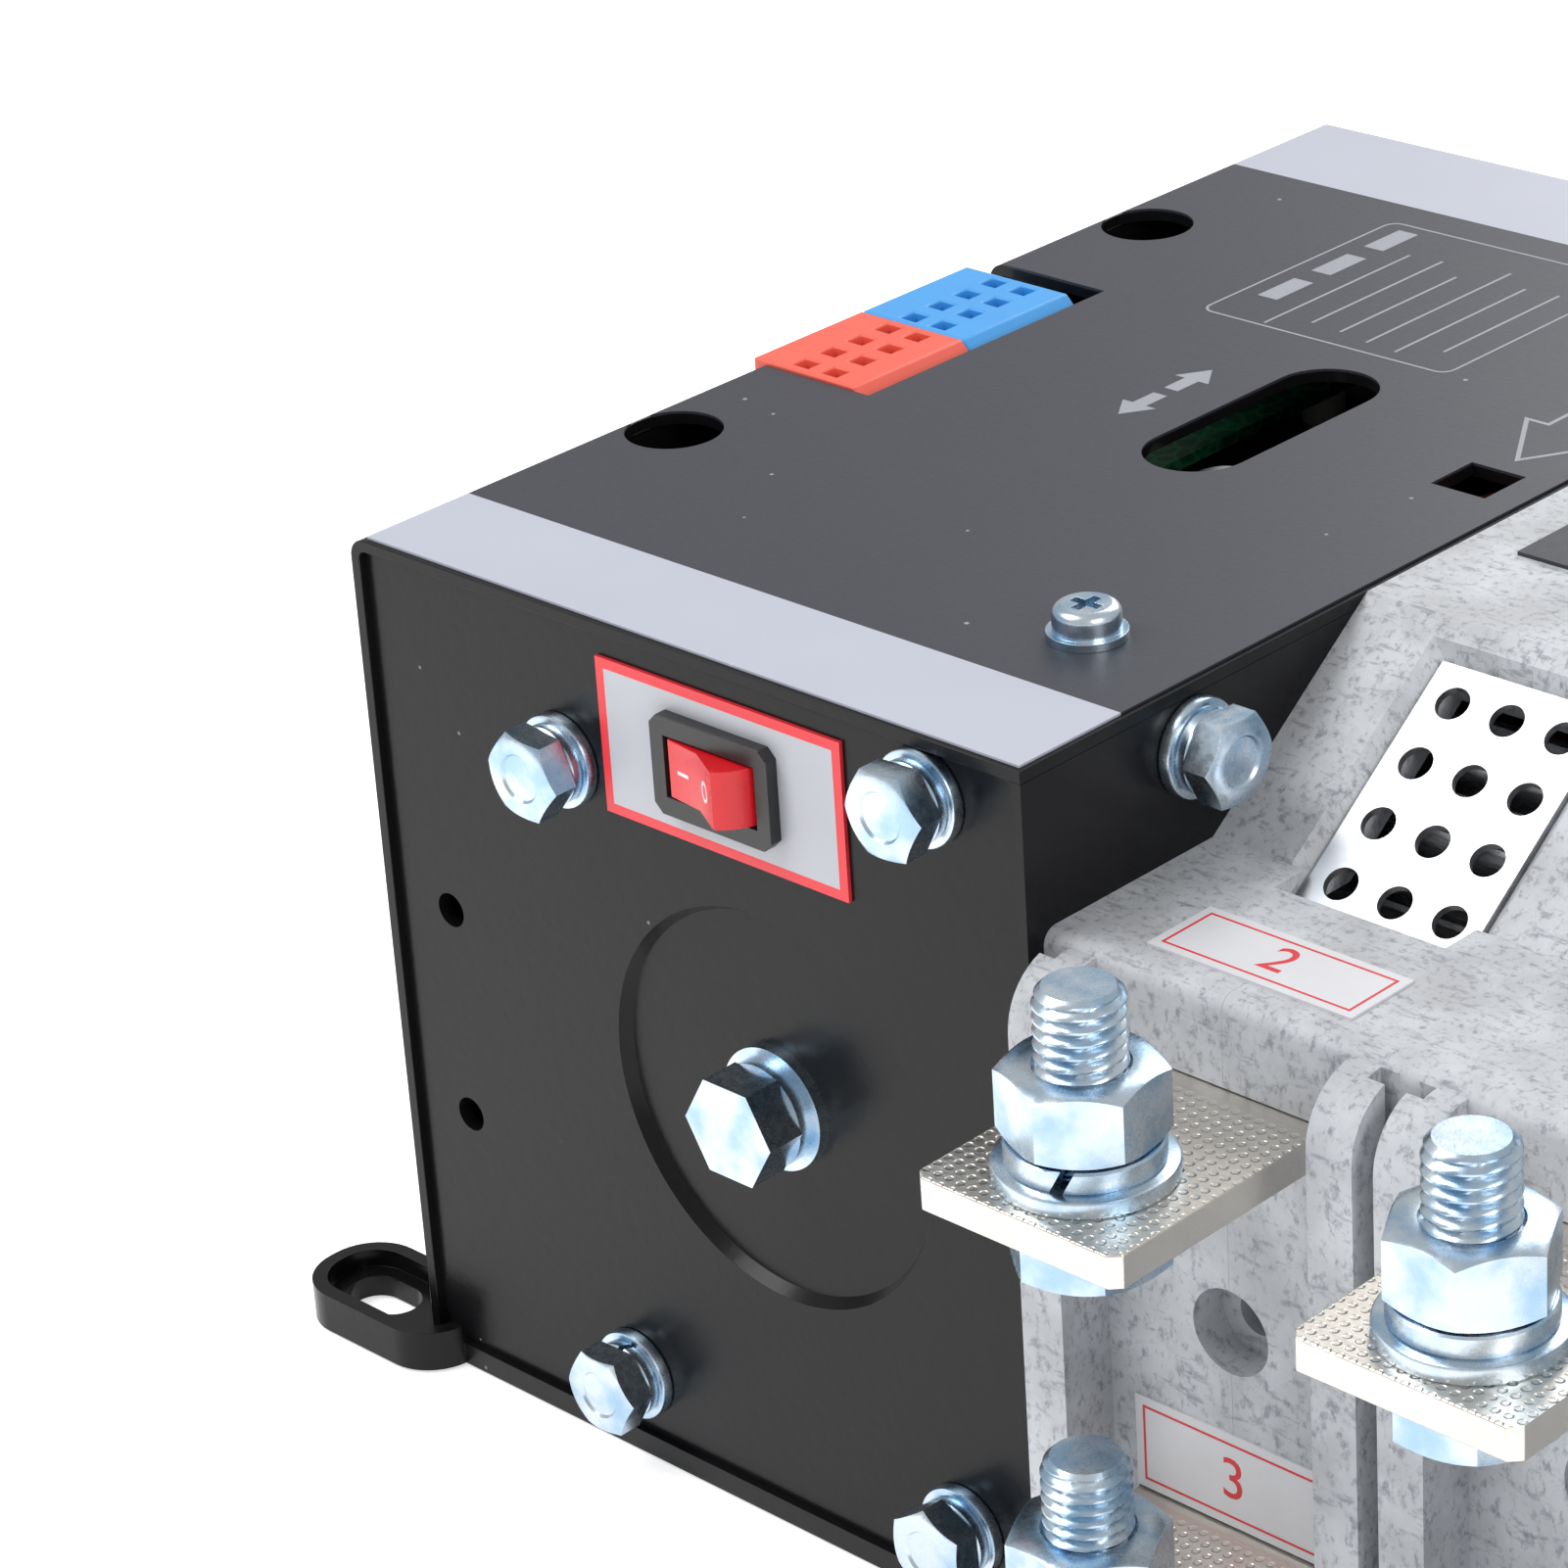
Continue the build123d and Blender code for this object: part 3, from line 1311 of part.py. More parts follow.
def pole_body(centre):
    """One moulded pole before it is parted into its two half shells."""
    start = centre - pole_pitch / 2
    rib_lefts = (start + rib_inset, start + pole_pitch - rib_inset - rib_width)
    with BuildPart() as body:
        with BuildSketch(Plane.YZ.offset(start)):
            with BuildLine():
                Polyline(*pole_outline(0), close=True)
            make_face()
        extrude(amount=pole_pitch)
        shoulder_edges = body.edges().filter_by(Axis.X).filter_by(
            lambda edge: abs(abs(edge.center().Y) - pole_face) < pick_slack
            and edge.center().Z > device_height / 2
        )
        fillet(shoulder_edges, shoulder_round)
        with BuildSketch(Plane.YZ.offset(start + wall)):
            with BuildLine():
                Polyline(*cavity_outline, close=True)
            make_face()
        extrude(amount=pole_pitch - 2 * wall, mode=Mode.SUBTRACT)
        for side in (-1, 1):
            for rib_left in rib_lefts:
                with BuildSketch(Plane.YZ.offset(rib_left)):
                    with BuildLine():
                        Line((side * rib_back, rib_top), (side * pole_face, rib_top))
                        ThreePointArc(
                            (side * pole_face, rib_top),
                            (
                                side * (pole_face + rib_round * math.sin(math.pi / 4)),
                                rib_top - rib_round * (1 - math.cos(math.pi / 4)),
                            ),
                            (side * rib_face, rib_top - rib_round),
                        )
                        Line((side * rib_face, rib_top - rib_round), (side * rib_face, base_thickness))
                        Line((side * rib_face, base_thickness), (side * rib_back, base_thickness))
                        Line((side * rib_back, base_thickness), (side * rib_back, rib_top))
                    make_face()
                extrude(amount=rib_width)
        groove_y = pole_face + barrier_groove_thickness / 2
        for side in (-1, 1):
            for groove_x in (start, start + pole_pitch):
                with BuildSketch(Plane.XY.offset(base_thickness)):
                    with Locations((groove_x, side * groove_y)):
                        Rectangle(2 * barrier_groove_width, barrier_groove_thickness)
                extrude(amount=rib_top - base_thickness, mode=Mode.SUBTRACT)
        for side, bar_top in bar_places:
            with BuildSketch(Plane.XY.offset(bar_top - bar_thickness - seat_gap)):
                with Locations((centre, side * pole_face)):
                    Rectangle(bar_width + 2 * seat_gap, 4 * wall)
            extrude(amount=bar_thickness + 2 * seat_gap, mode=Mode.SUBTRACT)
        for plane in (front_plane, rear_plane):
            side = -1 if plane is front_plane else 1
            with BuildSketch(plane(centre, side * (pole_face - wall), screw_pocket_height)):
                Circle(screw_boss_radius)
            extrude(amount=-(screw_boss_depth - wall))
            with BuildSketch(plane(centre, side * pole_face, screw_pocket_height)):
                Circle(screw_pocket_radius)
            extrude(amount=-screw_pocket_depth, mode=Mode.SUBTRACT)
            with BuildSketch(plane(centre, side * pole_face, screw_pocket_height)):
                Circle(screw_hole_radius)
            extrude(amount=-2 * screw_boss_depth, mode=Mode.SUBTRACT)
        for side in (-1, 1):
            with BuildSketch(slope_plane(centre, side, 0)):
                with Locations((0, vent_centre_offset)):
                    Rectangle(vent_width + 2 * vent_bevel, vent_length + 2 * vent_bevel)
            extrude(amount=-(vent_depth + vent_thickness), taper=vent_taper, mode=Mode.SUBTRACT)
            with BuildSketch(slope_plane(centre, side, vent_depth + vent_thickness)):
                with Locations((0, vent_centre_offset)):
                    Rectangle(vent_width, vent_length)
            extrude(amount=3 * slope_wall, mode=Mode.SUBTRACT)
            with BuildSketch(slope_plane(centre, side, 0)):
                with Locations((0, vent_centre_offset)):
                    Rectangle(vent_width - 2 * vent_ledge, vent_length - 2 * vent_ledge)
            extrude(amount=-(2 * slope_wall), mode=Mode.SUBTRACT)
        with BuildSketch(Plane.YZ.offset(start)):
            with Locations((0, shaft_height)):
                Circle(shaft_radius + shaft_hole_slack)
            with Locations(*tie_places):
                Circle(tie_rod_radius + running_clearance)
        extrude(amount=pole_pitch, mode=Mode.SUBTRACT)
    return body.part


for number, centre in enumerate(pole_centres, start=1):
    whole = pole_body(centre)
    left_half = split(whole, bisect_by=Plane.YZ.offset(centre - fixed_clearance), keep=Keep.BOTTOM)
    right_half = split(whole, bisect_by=Plane.YZ.offset(centre + fixed_clearance), keep=Keep.TOP)
    save(Compound(children=[left_half, right_half]), f"pole_{number}_shells")

with BuildPart() as vent_plates:
    for centre in pole_centres:
        for side in (-1, 1):
            with BuildSketch(slope_plane(centre, side, vent_depth + vent_thickness)):
                with Locations((0, vent_centre_offset)):
                    Rectangle(vent_width - 2 * fixed_clearance, vent_length - 2 * fixed_clearance)
                    with GridLocations(vent_column_pitch, vent_row_pitch, vent_columns, vent_rows):
                        Circle(vent_hole_diameter / 2, mode=Mode.SUBTRACT)
            extrude(amount=vent_thickness)
save(vent_plates.part, "vent_plates")

arc_floor = supply_bar_top + arc_floor_gap
arc_half_width = pole_pitch / 2 - wall
arc_last_plate = arc_first_plate + (arc_plate_count - 1) * arc_plate_pitch

with BuildPart() as arc_plates:
    for centre in pole_centres:
        for side in (-1, 1):
            for step in range(arc_plate_count):
                plate_y = arc_first_plate + step * arc_plate_pitch
                plate_top = inner_slope(plate_y + arc_plate_thickness / 2) - arc_top_gap
                with BuildSketch(Plane.XY.offset(arc_floor)):
                    with Locations((centre, side * plate_y)):
                        Rectangle(2 * (arc_half_width - arc_cheek_thickness), arc_plate_thickness)
                extrude(amount=plate_top - arc_floor)
save(arc_plates.part, "arc_plates")

cheek_inner_y = arc_first_plate - arc_cheek_margin
cheek_outer_y = arc_last_plate + arc_cheek_margin

with BuildPart() as arc_cheeks:
    for centre in pole_centres:
        for left in (centre - arc_half_width, centre + arc_half_width - arc_cheek_thickness):
            for side in (-1, 1):
                with BuildSketch(Plane.YZ.offset(left)):
                    with BuildLine():
                        Polyline(
                            (side * cheek_inner_y, arc_floor),
                            (side * cheek_outer_y, arc_floor),
                            (side * cheek_outer_y, inner_slope(cheek_outer_y) - arc_cheek_top_gap),
                            (side * cheek_inner_y, inner_slope(cheek_inner_y) - arc_cheek_top_gap),
                            close=True,
                        )
                    make_face()
                extrude(amount=arc_cheek_thickness)
save(arc_cheeks.part, "arc_cheeks")

# ================================================================ contacts
sleeve_end_play = 0.5
ring_seat = sleeve_radius + fixed_clearance
arm_top = contact_radius + contact_tip_size / 2 + arm_end
fixed_tip_start = arm_width / 2 + contact_tip_thickness + seat_gap
leg_start = fixed_tip_start + contact_tip_thickness

with BuildPart() as contact_carriers:
    for centre in pole_centres:
        left = centre - arc_half_width + sleeve_end_play
        length = 2 * (arc_half_width - sleeve_end_play)
        with BuildSketch(turned_plane(left, rest_angle)):
            Circle(sleeve_radius)
        extrude(amount=length)
        with BuildSketch(
            turned_plane(left, rest_angle), turned_plane(left + length - sleeve_flange, rest_angle)
        ):
            Circle(sleeve_flange_radius)
        extrude(amount=sleeve_flange)
        with BuildSketch(turned_plane(left, rest_angle)):
            Circle(shaft_radius + fixed_clearance)
        extrude(amount=length, mode=Mode.SUBTRACT)
save(contact_carriers.part, "contact_carriers")

with BuildPart() as moving_contacts:
    for centre in pole_centres:
        with BuildSketch(turned_plane(centre - arm_half_thickness, rest_angle)):
            Circle(ring_radius)
            with Locations((0, arm_top / 2)):
                Rectangle(arm_width, arm_top)
            with Locations((0, contact_radius)):
                Rectangle(arm_width + 2 * contact_tip_thickness, contact_tip_size)
            Circle(ring_seat, mode=Mode.SUBTRACT)
        extrude(amount=2 * arm_half_thickness)
save(moving_contacts.part, "moving_contacts")


def beside_arm(radial, sideways, side):
    """Point across the row, given along and beside the contact arm at one end of its travel."""
    turn = math.radians(shaft_half_angle)
    return (
        side * (math.sin(turn) * radial + math.cos(turn) * sideways),
        shaft_height + math.cos(turn) * radial - math.sin(turn) * sideways,
    )


def radial_at(height, sideways):
    """Distance along the arm at which a line beside it reaches a height."""
    turn = math.radians(shaft_half_angle)
    return (height - shaft_height + math.sin(turn) * sideways) / math.cos(turn)


tip_low = contact_radius - contact_tip_size / 2
tip_high = contact_radius + contact_tip_size / 2

with BuildPart() as fixed_tips:
    for centre in pole_centres:
        for side in (-1, 1):
            with BuildSketch(Plane.YZ.offset(centre - arm_half_thickness)):
                with BuildLine():
                    Polyline(
                        beside_arm(tip_low, fixed_tip_start, side),
                        beside_arm(tip_high, fixed_tip_start, side),
                        beside_arm(tip_high, leg_start, side),
                        beside_arm(tip_low, leg_start, side),
                        close=True,
                    )
                make_face()
            extrude(amount=2 * arm_half_thickness)
save(fixed_tips.part, "fixed_tips")

supply_studs = [
    level_plane(x, side * supply_stud_y, supply_bar_top) for side in (-1, 1) for x in pole_centres
]
load_studs = [level_plane(x, -load_stud_y, load_bar_top) for x in pole_centres]
stud_planes = supply_studs + load_studs


def supply_bar(centre, side):
    """Supply bar from its stud end in to the bent leg that carries the fixed contact tip."""
    leg_end = leg_start + bar_thickness
    with BuildPart() as bar:
        with BuildSketch(Plane.YZ.offset(centre - bar_width / 2)):
            with BuildLine():
                Polyline(
                    beside_arm(tip_low - leg_overlap, leg_start, side),
                    beside_arm(radial_at(supply_bar_top, leg_start), leg_start, side),
                    (side * bar_reach, supply_bar_top),
                    (side * bar_reach, supply_bar_top - bar_thickness),
                    beside_arm(radial_at(supply_bar_top - bar_thickness, leg_end), leg_end, side),
                    beside_arm(tip_low - leg_overlap, leg_end, side),
                    close=True,
                )
            make_face()
        extrude(amount=bar_width)
        with BuildSketch(level_plane(centre, side * supply_stud_y, supply_bar_top)):
            Circle(stud_hole_radius)
        extrude(amount=-bar_thickness, mode=Mode.SUBTRACT)
        end_edges = bar.edges().filter_by(Axis.Z).filter_by(
            lambda edge: abs(abs(edge.center().Y) - bar_reach) < pick_slack
        )
        chamfer(end_edges, bar_corner)
    return bar.part


with BuildPart() as supply_terminals:
    for centre in pole_centres:
        for side in (-1, 1):
            add(supply_bar(centre, side))
save(supply_terminals.part, "supply_terminals")

load_bar_inner = ring_radius + ring_gap
jaw_top = shaft_height - sleeve_radius - sleeve_gap
jaw_root = load_bar_inner + jaw_overlap

with BuildPart() as load_terminals:
    for centre in pole_centres:
        with BuildSketch(Plane.XY.offset(load_bar_top - bar_thickness)):
            with Locations((centre, -(bar_reach + load_bar_inner) / 2)):
                Rectangle(bar_width, bar_reach - load_bar_inner)
            with Locations((centre, -load_stud_y)):
                Circle(stud_hole_radius, mode=Mode.SUBTRACT)
        extrude(amount=bar_thickness)
        jaw_offset = arm_half_thickness + jaw_gap
        for left in (centre - jaw_offset - jaw_thickness, centre + jaw_offset):
            with BuildSketch(Plane.YZ.offset(left)):
                with Locations(((jaw_reach - jaw_root) / 2, (load_bar_top - bar_thickness + jaw_top) / 2)):
                    Rectangle(jaw_root + jaw_reach, jaw_top - load_bar_top + bar_thickness)
            extrude(amount=jaw_thickness)
    load_end_edges = load_terminals.edges().filter_by(Axis.Z).filter_by(
        lambda edge: abs(edge.center().Y + bar_reach) < pick_slack
    )
    chamfer(load_end_edges, bar_corner)
save(load_terminals.part, "load_terminals")

# ================================================================ terminal fasteners
terminal_stack = flat_washer + spring_washer + nut_height

with BuildPart() as terminal_bolts:
    with BuildSketch(*[plane.offset(-bar_thickness) for plane in stud_planes]):
        RegularPolygon(radius=stud_flats / 2, side_count=6, major_radius=False)
    extrude(amount=-bolt_head)
    with BuildSketch(*[plane.offset(-bar_thickness) for plane in stud_planes]):
        Circle(stud_radius - stud_shank_relief)
    extrude(amount=bar_thickness + stud_above_bar)
    with BuildSketch(*[plane.offset(terminal_stack) for plane in stud_planes]):
        Circle(stud_radius)
    extrude(amount=stud_above_bar - terminal_stack)
    stud_tips = terminal_bolts.faces().filter_by(Axis.Z).filter_by(
        lambda face: abs(face.area - math.pi * stud_radius**2) < pick_slack
    )
    chamfer(stud_tips.edges(), stud_end_chamfer)
save(terminal_bolts.part, "terminal_bolts")

terminal_flat_washers = rings(stud_planes, flat_washer_radius, stud_radius + screw_slack, flat_washer)
save(terminal_flat_washers, "terminal_flat_washers")
terminal_spring_washers = rings(
    stud_planes, spring_washer_radius, stud_radius + screw_slack, spring_washer, flat_washer
)
save(terminal_spring_washers, "terminal_spring_washers")

with BuildPart() as terminal_nuts:
    with BuildSketch(*[plane.offset(flat_washer + spring_washer) for plane in stud_planes]):
        RegularPolygon(radius=stud_flats / 2, side_count=6, major_radius=False)
        Circle(stud_radius + fixed_clearance, mode=Mode.SUBTRACT)
    extrude(amount=nut_height)
save(terminal_nuts.part, "terminal_nuts")

# ================================================================ row hardware and plates
tie_left = panel_right - tie_rod_overhang
tie_right = row_right + tie_rod_overhang

with BuildPart() as tie_rods:
    with BuildSketch(Plane.YZ.offset(tie_left)):
        with Locations(*tie_places):
            Circle(tie_rod_radius)
    extrude(amount=tie_right - tie_left)
save(tie_rods.part, "tie_rods")

with BuildPart() as tie_nuts:
    with BuildSketch(Plane.YZ.offset(panel_right - tie_nut_thickness), Plane.YZ.offset(row_right)):
        with Locations(*tie_places):
            RegularPolygon(radius=tie_nut_flats / 2, side_count=6, major_radius=False)
            Circle(tie_rod_radius + fixed_clearance, mode=Mode.SUBTRACT)
    extrude(amount=tie_nut_thickness)
save(tie_nuts.part, "tie_nuts")

with BuildPart() as end_plate:
    with BuildSketch(Plane.YZ.offset(poles_end)):
        with BuildLine():
            Polyline(*pole_outline(end_plate_inset), close=True)
        make_face()
        with Locations((0, shaft_height)):
            Circle(bush_radius + fixed_clearance, mode=Mode.SUBTRACT)
        with Locations(*tie_places):
            Circle(tie_rod_radius + fixed_clearance, mode=Mode.SUBTRACT)
    extrude(amount=end_plate_thickness)
save(end_plate.part, "end_plate")

with BuildPart() as pole_plate:
    with BuildSketch(Plane.XY.offset(device_height)):
        with Locations(((box_right + poles_end) / 2, 0)):
            Rectangle(pole_count * pole_pitch - 2 * pole_plate_inset, 2 * pole_plate_half_depth)
    extrude(amount=pole_plate_thickness)
save(pole_plate.part, "pole_plate")

first_pole = pole_centres[0]

with BuildPart() as number_stickers:
    with BuildSketch(Plane.XY.offset(shoulder_height)):
        with Locations((first_pole, -sticker_centre_y), (first_pole, sticker_centre_y)):
            Rectangle(sticker_width, sticker_depth)
    extrude(amount=sticker_thickness)
    load_sticker_z = load_bar_top + load_sticker_gap + load_sticker_height / 2
    with BuildSketch(front_plane(first_pole, -pole_face, load_sticker_z)):
        Rectangle(sticker_width, load_sticker_height)
    extrude(amount=sticker_thickness)
save(number_stickers.part, "number_stickers")
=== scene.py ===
"""Looks of a dual-supply transfer switch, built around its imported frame."""

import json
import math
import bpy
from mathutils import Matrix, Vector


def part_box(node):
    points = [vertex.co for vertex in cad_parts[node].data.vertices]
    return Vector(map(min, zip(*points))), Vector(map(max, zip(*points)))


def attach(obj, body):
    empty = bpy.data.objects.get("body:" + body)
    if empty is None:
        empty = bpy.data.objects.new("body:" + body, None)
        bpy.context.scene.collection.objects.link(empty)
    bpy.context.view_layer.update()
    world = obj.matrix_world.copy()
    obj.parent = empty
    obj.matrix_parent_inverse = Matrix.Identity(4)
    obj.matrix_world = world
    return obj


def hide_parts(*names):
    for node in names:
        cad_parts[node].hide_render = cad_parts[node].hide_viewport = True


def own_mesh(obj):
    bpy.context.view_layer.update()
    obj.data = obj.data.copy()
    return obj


bl_info = {
    "name": "Transfer Switch Looks",
    "version": (1, 0, 0),
    "blender": (4, 5, 0),
    "location": "3D View > Sidebar > Transfer Switch",
    "description": "Finishes, fasteners, printing and a studio for a transfer switch",
    "category": "Object",
}

import bmesh
import bpy
from mathutils import Matrix, Vector

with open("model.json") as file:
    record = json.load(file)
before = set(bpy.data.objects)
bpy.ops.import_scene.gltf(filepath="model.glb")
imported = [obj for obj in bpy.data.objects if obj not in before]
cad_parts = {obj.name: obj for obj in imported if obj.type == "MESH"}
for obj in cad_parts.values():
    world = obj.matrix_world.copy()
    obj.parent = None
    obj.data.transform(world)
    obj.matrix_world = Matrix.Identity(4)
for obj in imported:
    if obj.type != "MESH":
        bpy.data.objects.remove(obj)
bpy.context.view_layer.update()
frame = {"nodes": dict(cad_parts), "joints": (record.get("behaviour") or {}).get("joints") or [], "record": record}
MM = 0.001
UP = Vector((0, 0, 1))
SLOT_OF = {row["node"]: row["material_slot"] for row in frame["record"]["subparts"]}
BODIES = frame["record"]["behaviour"]["bodies"]
BODY_OF = {node: body for body, nodes in BODIES.items() for node in nodes}
MOUNTS = {mount["name"]: mount for mount in frame["record"]["mounts"]}
JOINTS = {joint["name"]: joint for joint in frame["joints"]}


# ---------------------------------------------------------------- shader maths
class Wire:
    """A shader socket that adds Math nodes when it is used in an expression."""

    def __init__(self, finish, socket):
        self.finish = finish
        self.socket = socket

    def maths(self, operation, *values):
        sockets = {place: value for place, value in enumerate(values)}
        return self.finish.add("Math", {"operation": operation}, sockets)

    def __add__(self, other):
        return self.maths("ADD", self, other)

    def __radd__(self, other):
        return self.maths("ADD", other, self)

    def __sub__(self, other):
        return self.maths("SUBTRACT", self, other)

    def __rsub__(self, other):
        return self.maths("SUBTRACT", other, self)

    def __mul__(self, other):
        return self.maths("MULTIPLY", self, other)

    def __rmul__(self, other):
        return self.maths("MULTIPLY", other, self)

    def __gt__(self, other):
        return self.maths("GREATER_THAN", self, other)

    def __lt__(self, other):
        return self.maths("LESS_THAN", self, other)

    def step(self, low, high):
        """0 below low, 1 above high, and smooth between them."""
        settings = {"interpolation_type": "SMOOTHSTEP"}
        sockets = {"Value": self, "From Min": low, "From Max": high}
        return self.finish.add("MapRange", settings, sockets)


class Finish:
    """A material under construction, with one principled surface."""

    def __init__(self, name):
        self.material = bpy.data.materials.new(name)
        self.material.use_nodes = True
        self.tree = self.material.node_tree
        self.tree.nodes.clear()
        self.place = self.add("TexCoord", {}, {}, "Object")

    def add(self, kind, settings, sockets, output=0):
        """Adds a node, with its settings first and then its sockets' values or links."""
        node = self.tree.nodes.new("ShaderNode" + kind)
        for key, value in settings.items():
            setattr(node, key, value)
        for key, value in sockets.items():
            if isinstance(value, Wire):
                self.tree.links.new(value.socket, node.inputs[key])
            else:
                node.inputs[key].default_value = value
        return Wire(self, node.outputs[output])

    def axis(self, name, vector=None):
        """The X, Y or Z of a vector, or of the place where none is given."""
        return self.add("SeparateXYZ", {}, {"Vector": vector or self.place}, name)

    def stretched(self, x, y, z):
        """The place with its axes stretched for a pattern that runs one way."""
        return self.add("VectorMath", {"operation": "MULTIPLY"}, {0: self.place, 1: (x, y, z)})

    def noise(self, size, detail=3.0, rough=0.5, place=None):
        """Clouds with a typical size in metres."""
        sockets = {"Vector": place or self.place, "Scale": 1 / size}
        return self.add("TexNoise", {}, {**sockets, "Detail": detail, "Roughness": rough})

    def cells(self, size, place=None, feature="F1"):
        """Distance to the nearest of points scattered a size apart."""
        sockets = {"Vector": place or self.place, "Scale": 1 / size}
        return self.add("TexVoronoi", {"feature": feature}, sockets)

    def blend(self, mask, first, second):
        """First colour where the mask is 0, second where it is 1."""
        return self.add("Mix", {"data_type": "RGBA"}, {0: mask, 6: rgba(first), 7: rgba(second)}, 2)

    def bump(self, height, depth, below=None):
        """Normal of a surface raised by a height of 0 to 1 times a depth in metres."""
        sockets = {"Height": height, "Distance": depth, "Strength": 1.0}
        if below is not None:
            sockets["Normal"] = below
        return self.add("Bump", {}, sockets)

    def surface(self, **values):
        """Ends the material in a principled surface and returns it."""
        sockets = {key.replace("_", " "): value for key, value in values.items()}
        shader = self.add("BsdfPrincipled", {}, sockets)
        output = self.tree.nodes.new("ShaderNodeOutputMaterial")
        self.tree.links.new(shader.socket, output.inputs["Surface"])
        return self.material


def rgba(colour):
    """A colour of three numbers with a full alpha; a link is left as it is."""
    return colour if isinstance(colour, Wire) else (*colour, 1.0)


# ---------------------------------------------------------------- finishes
def black_enamel():
    """Glossy powder coat with orange peel, hazy patches and a little dust."""
    f = Finish("black_enamel")
    haze = f.noise(0.022, 4.0)
    peel = f.noise(0.0018, 2.0)
    dust = (0.045 - f.cells(0.0065)).step(0.0, 0.012) * (f.noise(0.018) > 0.52)
    coat = f.blend(haze, (0.004, 0.004, 0.0045), (0.007, 0.007, 0.008))
    return f.surface(
        Base_Color=f.blend(dust, coat, (0.16, 0.16, 0.16)),
        Roughness=0.20 + haze * 0.10 + dust * 0.3,
        Specular_IOR_Level=0.20,
        Normal=f.bump(peel, 0.00003),
    )


def moulded_compound():
    """Pale glass-filled moulding compound with dark fibres and a mottled skin."""
    f = Finish("moulded_compound")
    clouds = f.noise(0.011, 5.0, 0.6)
    flecks = f.noise(0.0012, 5.0, 0.7, f.stretched(1.0, 1.0, 0.6)).step(0.50, 0.68)
    fibres = f.noise(0.0016, 4.0, 0.7, f.stretched(0.35, 1.4, 1.0)).step(0.55, 0.68)
    body = f.blend(clouds.step(0.3, 0.7), (0.43, 0.44, 0.46), (0.57, 0.59, 0.62))
    specks = f.blend(flecks * 0.75, body, (0.20, 0.21, 0.24))
    return f.surface(
        Base_Color=f.blend(fibres * 0.60, specks, (0.19, 0.20, 0.23)),
        Roughness=0.46 + clouds * 0.16,
        Normal=f.bump(f.noise(0.0009, 3.0), 0.00005),
    )


def zinc_plate():
    """Bright zinc with a pale blue passivation."""
    f = Finish("zinc_plate")
    tint = f.noise(0.006, 3.0)
    wear = f.noise(0.0012, 4.0, 0.6)
    return f.surface(
        Base_Color=f.blend(tint.step(0.35, 0.68), (0.62, 0.70, 0.77), (0.34, 0.50, 0.66)),
        Metallic=1.0,
        Roughness=0.17 + wear * 0.20,
        Normal=f.bump(wear, 0.00002),
    )


def tinned_copper():
    """Warm tin plate with fine scratches, pitted on the upward faces that stand out of the poles."""
    pits_per_metre = 625.0
    smooth_to, pitted_from = 0.090, 0.094
    f = Finish("tinned_copper")
    x, y = f.axis("X"), f.axis("Y")
    warm = f.noise(0.009, 4.0)
    cells = [f.add("Math", {"operation": "FRACT"}, {0: place * pits_per_metre}) for place in (x, y)]
    across, along = (cell - 0.5 for cell in cells)
    rims = (across * across + along * along).step(0.03, 0.13)
    upper = f.axis("Z", f.add("NewGeometry", {}, {}, "Normal")).step(0.5, 0.9)
    scratches = f.noise(0.0007, 3.0, 0.6, f.stretched(0.15, 1.0, 2.5))
    outside = (y * y).step(smooth_to**2, pitted_from**2)
    flat = f.bump(scratches, 0.00005)
    return f.surface(
        Base_Color=f.blend(warm, (0.80, 0.76, 0.70), (0.66, 0.62, 0.56)),
        Metallic=1.0,
        Roughness=0.20 + warm * 0.16 + scratches * 0.10,
        Normal=f.bump(rims * outside * upper, 0.00012, flat),
    )


def brushed_metal(name, light, dark, roughness, grain):
    """Sheet or bar drawn along one axis, with its grain stretched by three factors."""
    f = Finish(name)
    lines = f.noise(0.0011, 5.0, 0.65, f.stretched(*grain))
    stain = f.noise(0.013, 4.0)
    return f.surface(
        Base_Color=f.blend(stain * 0.6 + lines * 0.4, light, dark),
        Metallic=1.0,
        Roughness=roughness + lines * 0.16,
        Normal=f.bump(lines, 0.00003),
    )


def moulded_plastic(name, light, dark, roughness, grain=0.0016):
    """Moulded plastic with a fine skin, its grain's size in metres, and slight shade changes."""
    f = Finish(name)
    shade = f.noise(0.008, 4.0)
    skin = f.noise(grain, 3.0, 0.6)
    return f.surface(
        Base_Color=f.blend(shade * 0.7 + skin * 0.3, light, dark),
        Roughness=roughness + skin * 0.12,
        Normal=f.bump(skin, 0.00003),
    )


def printed_cover_film(front_strip, rear_strip, slate, silver):
    """Printed film on the cover: a slate field between two silver strips."""
    low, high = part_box("top_label")
    f = Finish("printed_cover_film")
    y = f.axis("Y")
    strips = (y < low.y + front_strip) + (y > high.y - rear_strip)
    shade = f.noise(0.02, 3.0)
    grain = f.noise(0.0007, 3.0)
    dust = (0.05 - f.cells(0.0071)).step(0.0, 0.012) * (shade > 0.52)
    field = f.blend(shade, slate, tuple(part * 1.12 for part in slate))
    strip = f.blend(shade, silver, tuple(part * 0.92 for part in silver))
    printed = f.blend(strips, field, strip)
    return f.surface(
        Base_Color=f.blend(dust * 0.5, printed, (0.6, 0.6, 0.6)),
        Roughness=0.36 + grain * 0.10,
        Normal=f.bump(grain, 0.000015),
    )


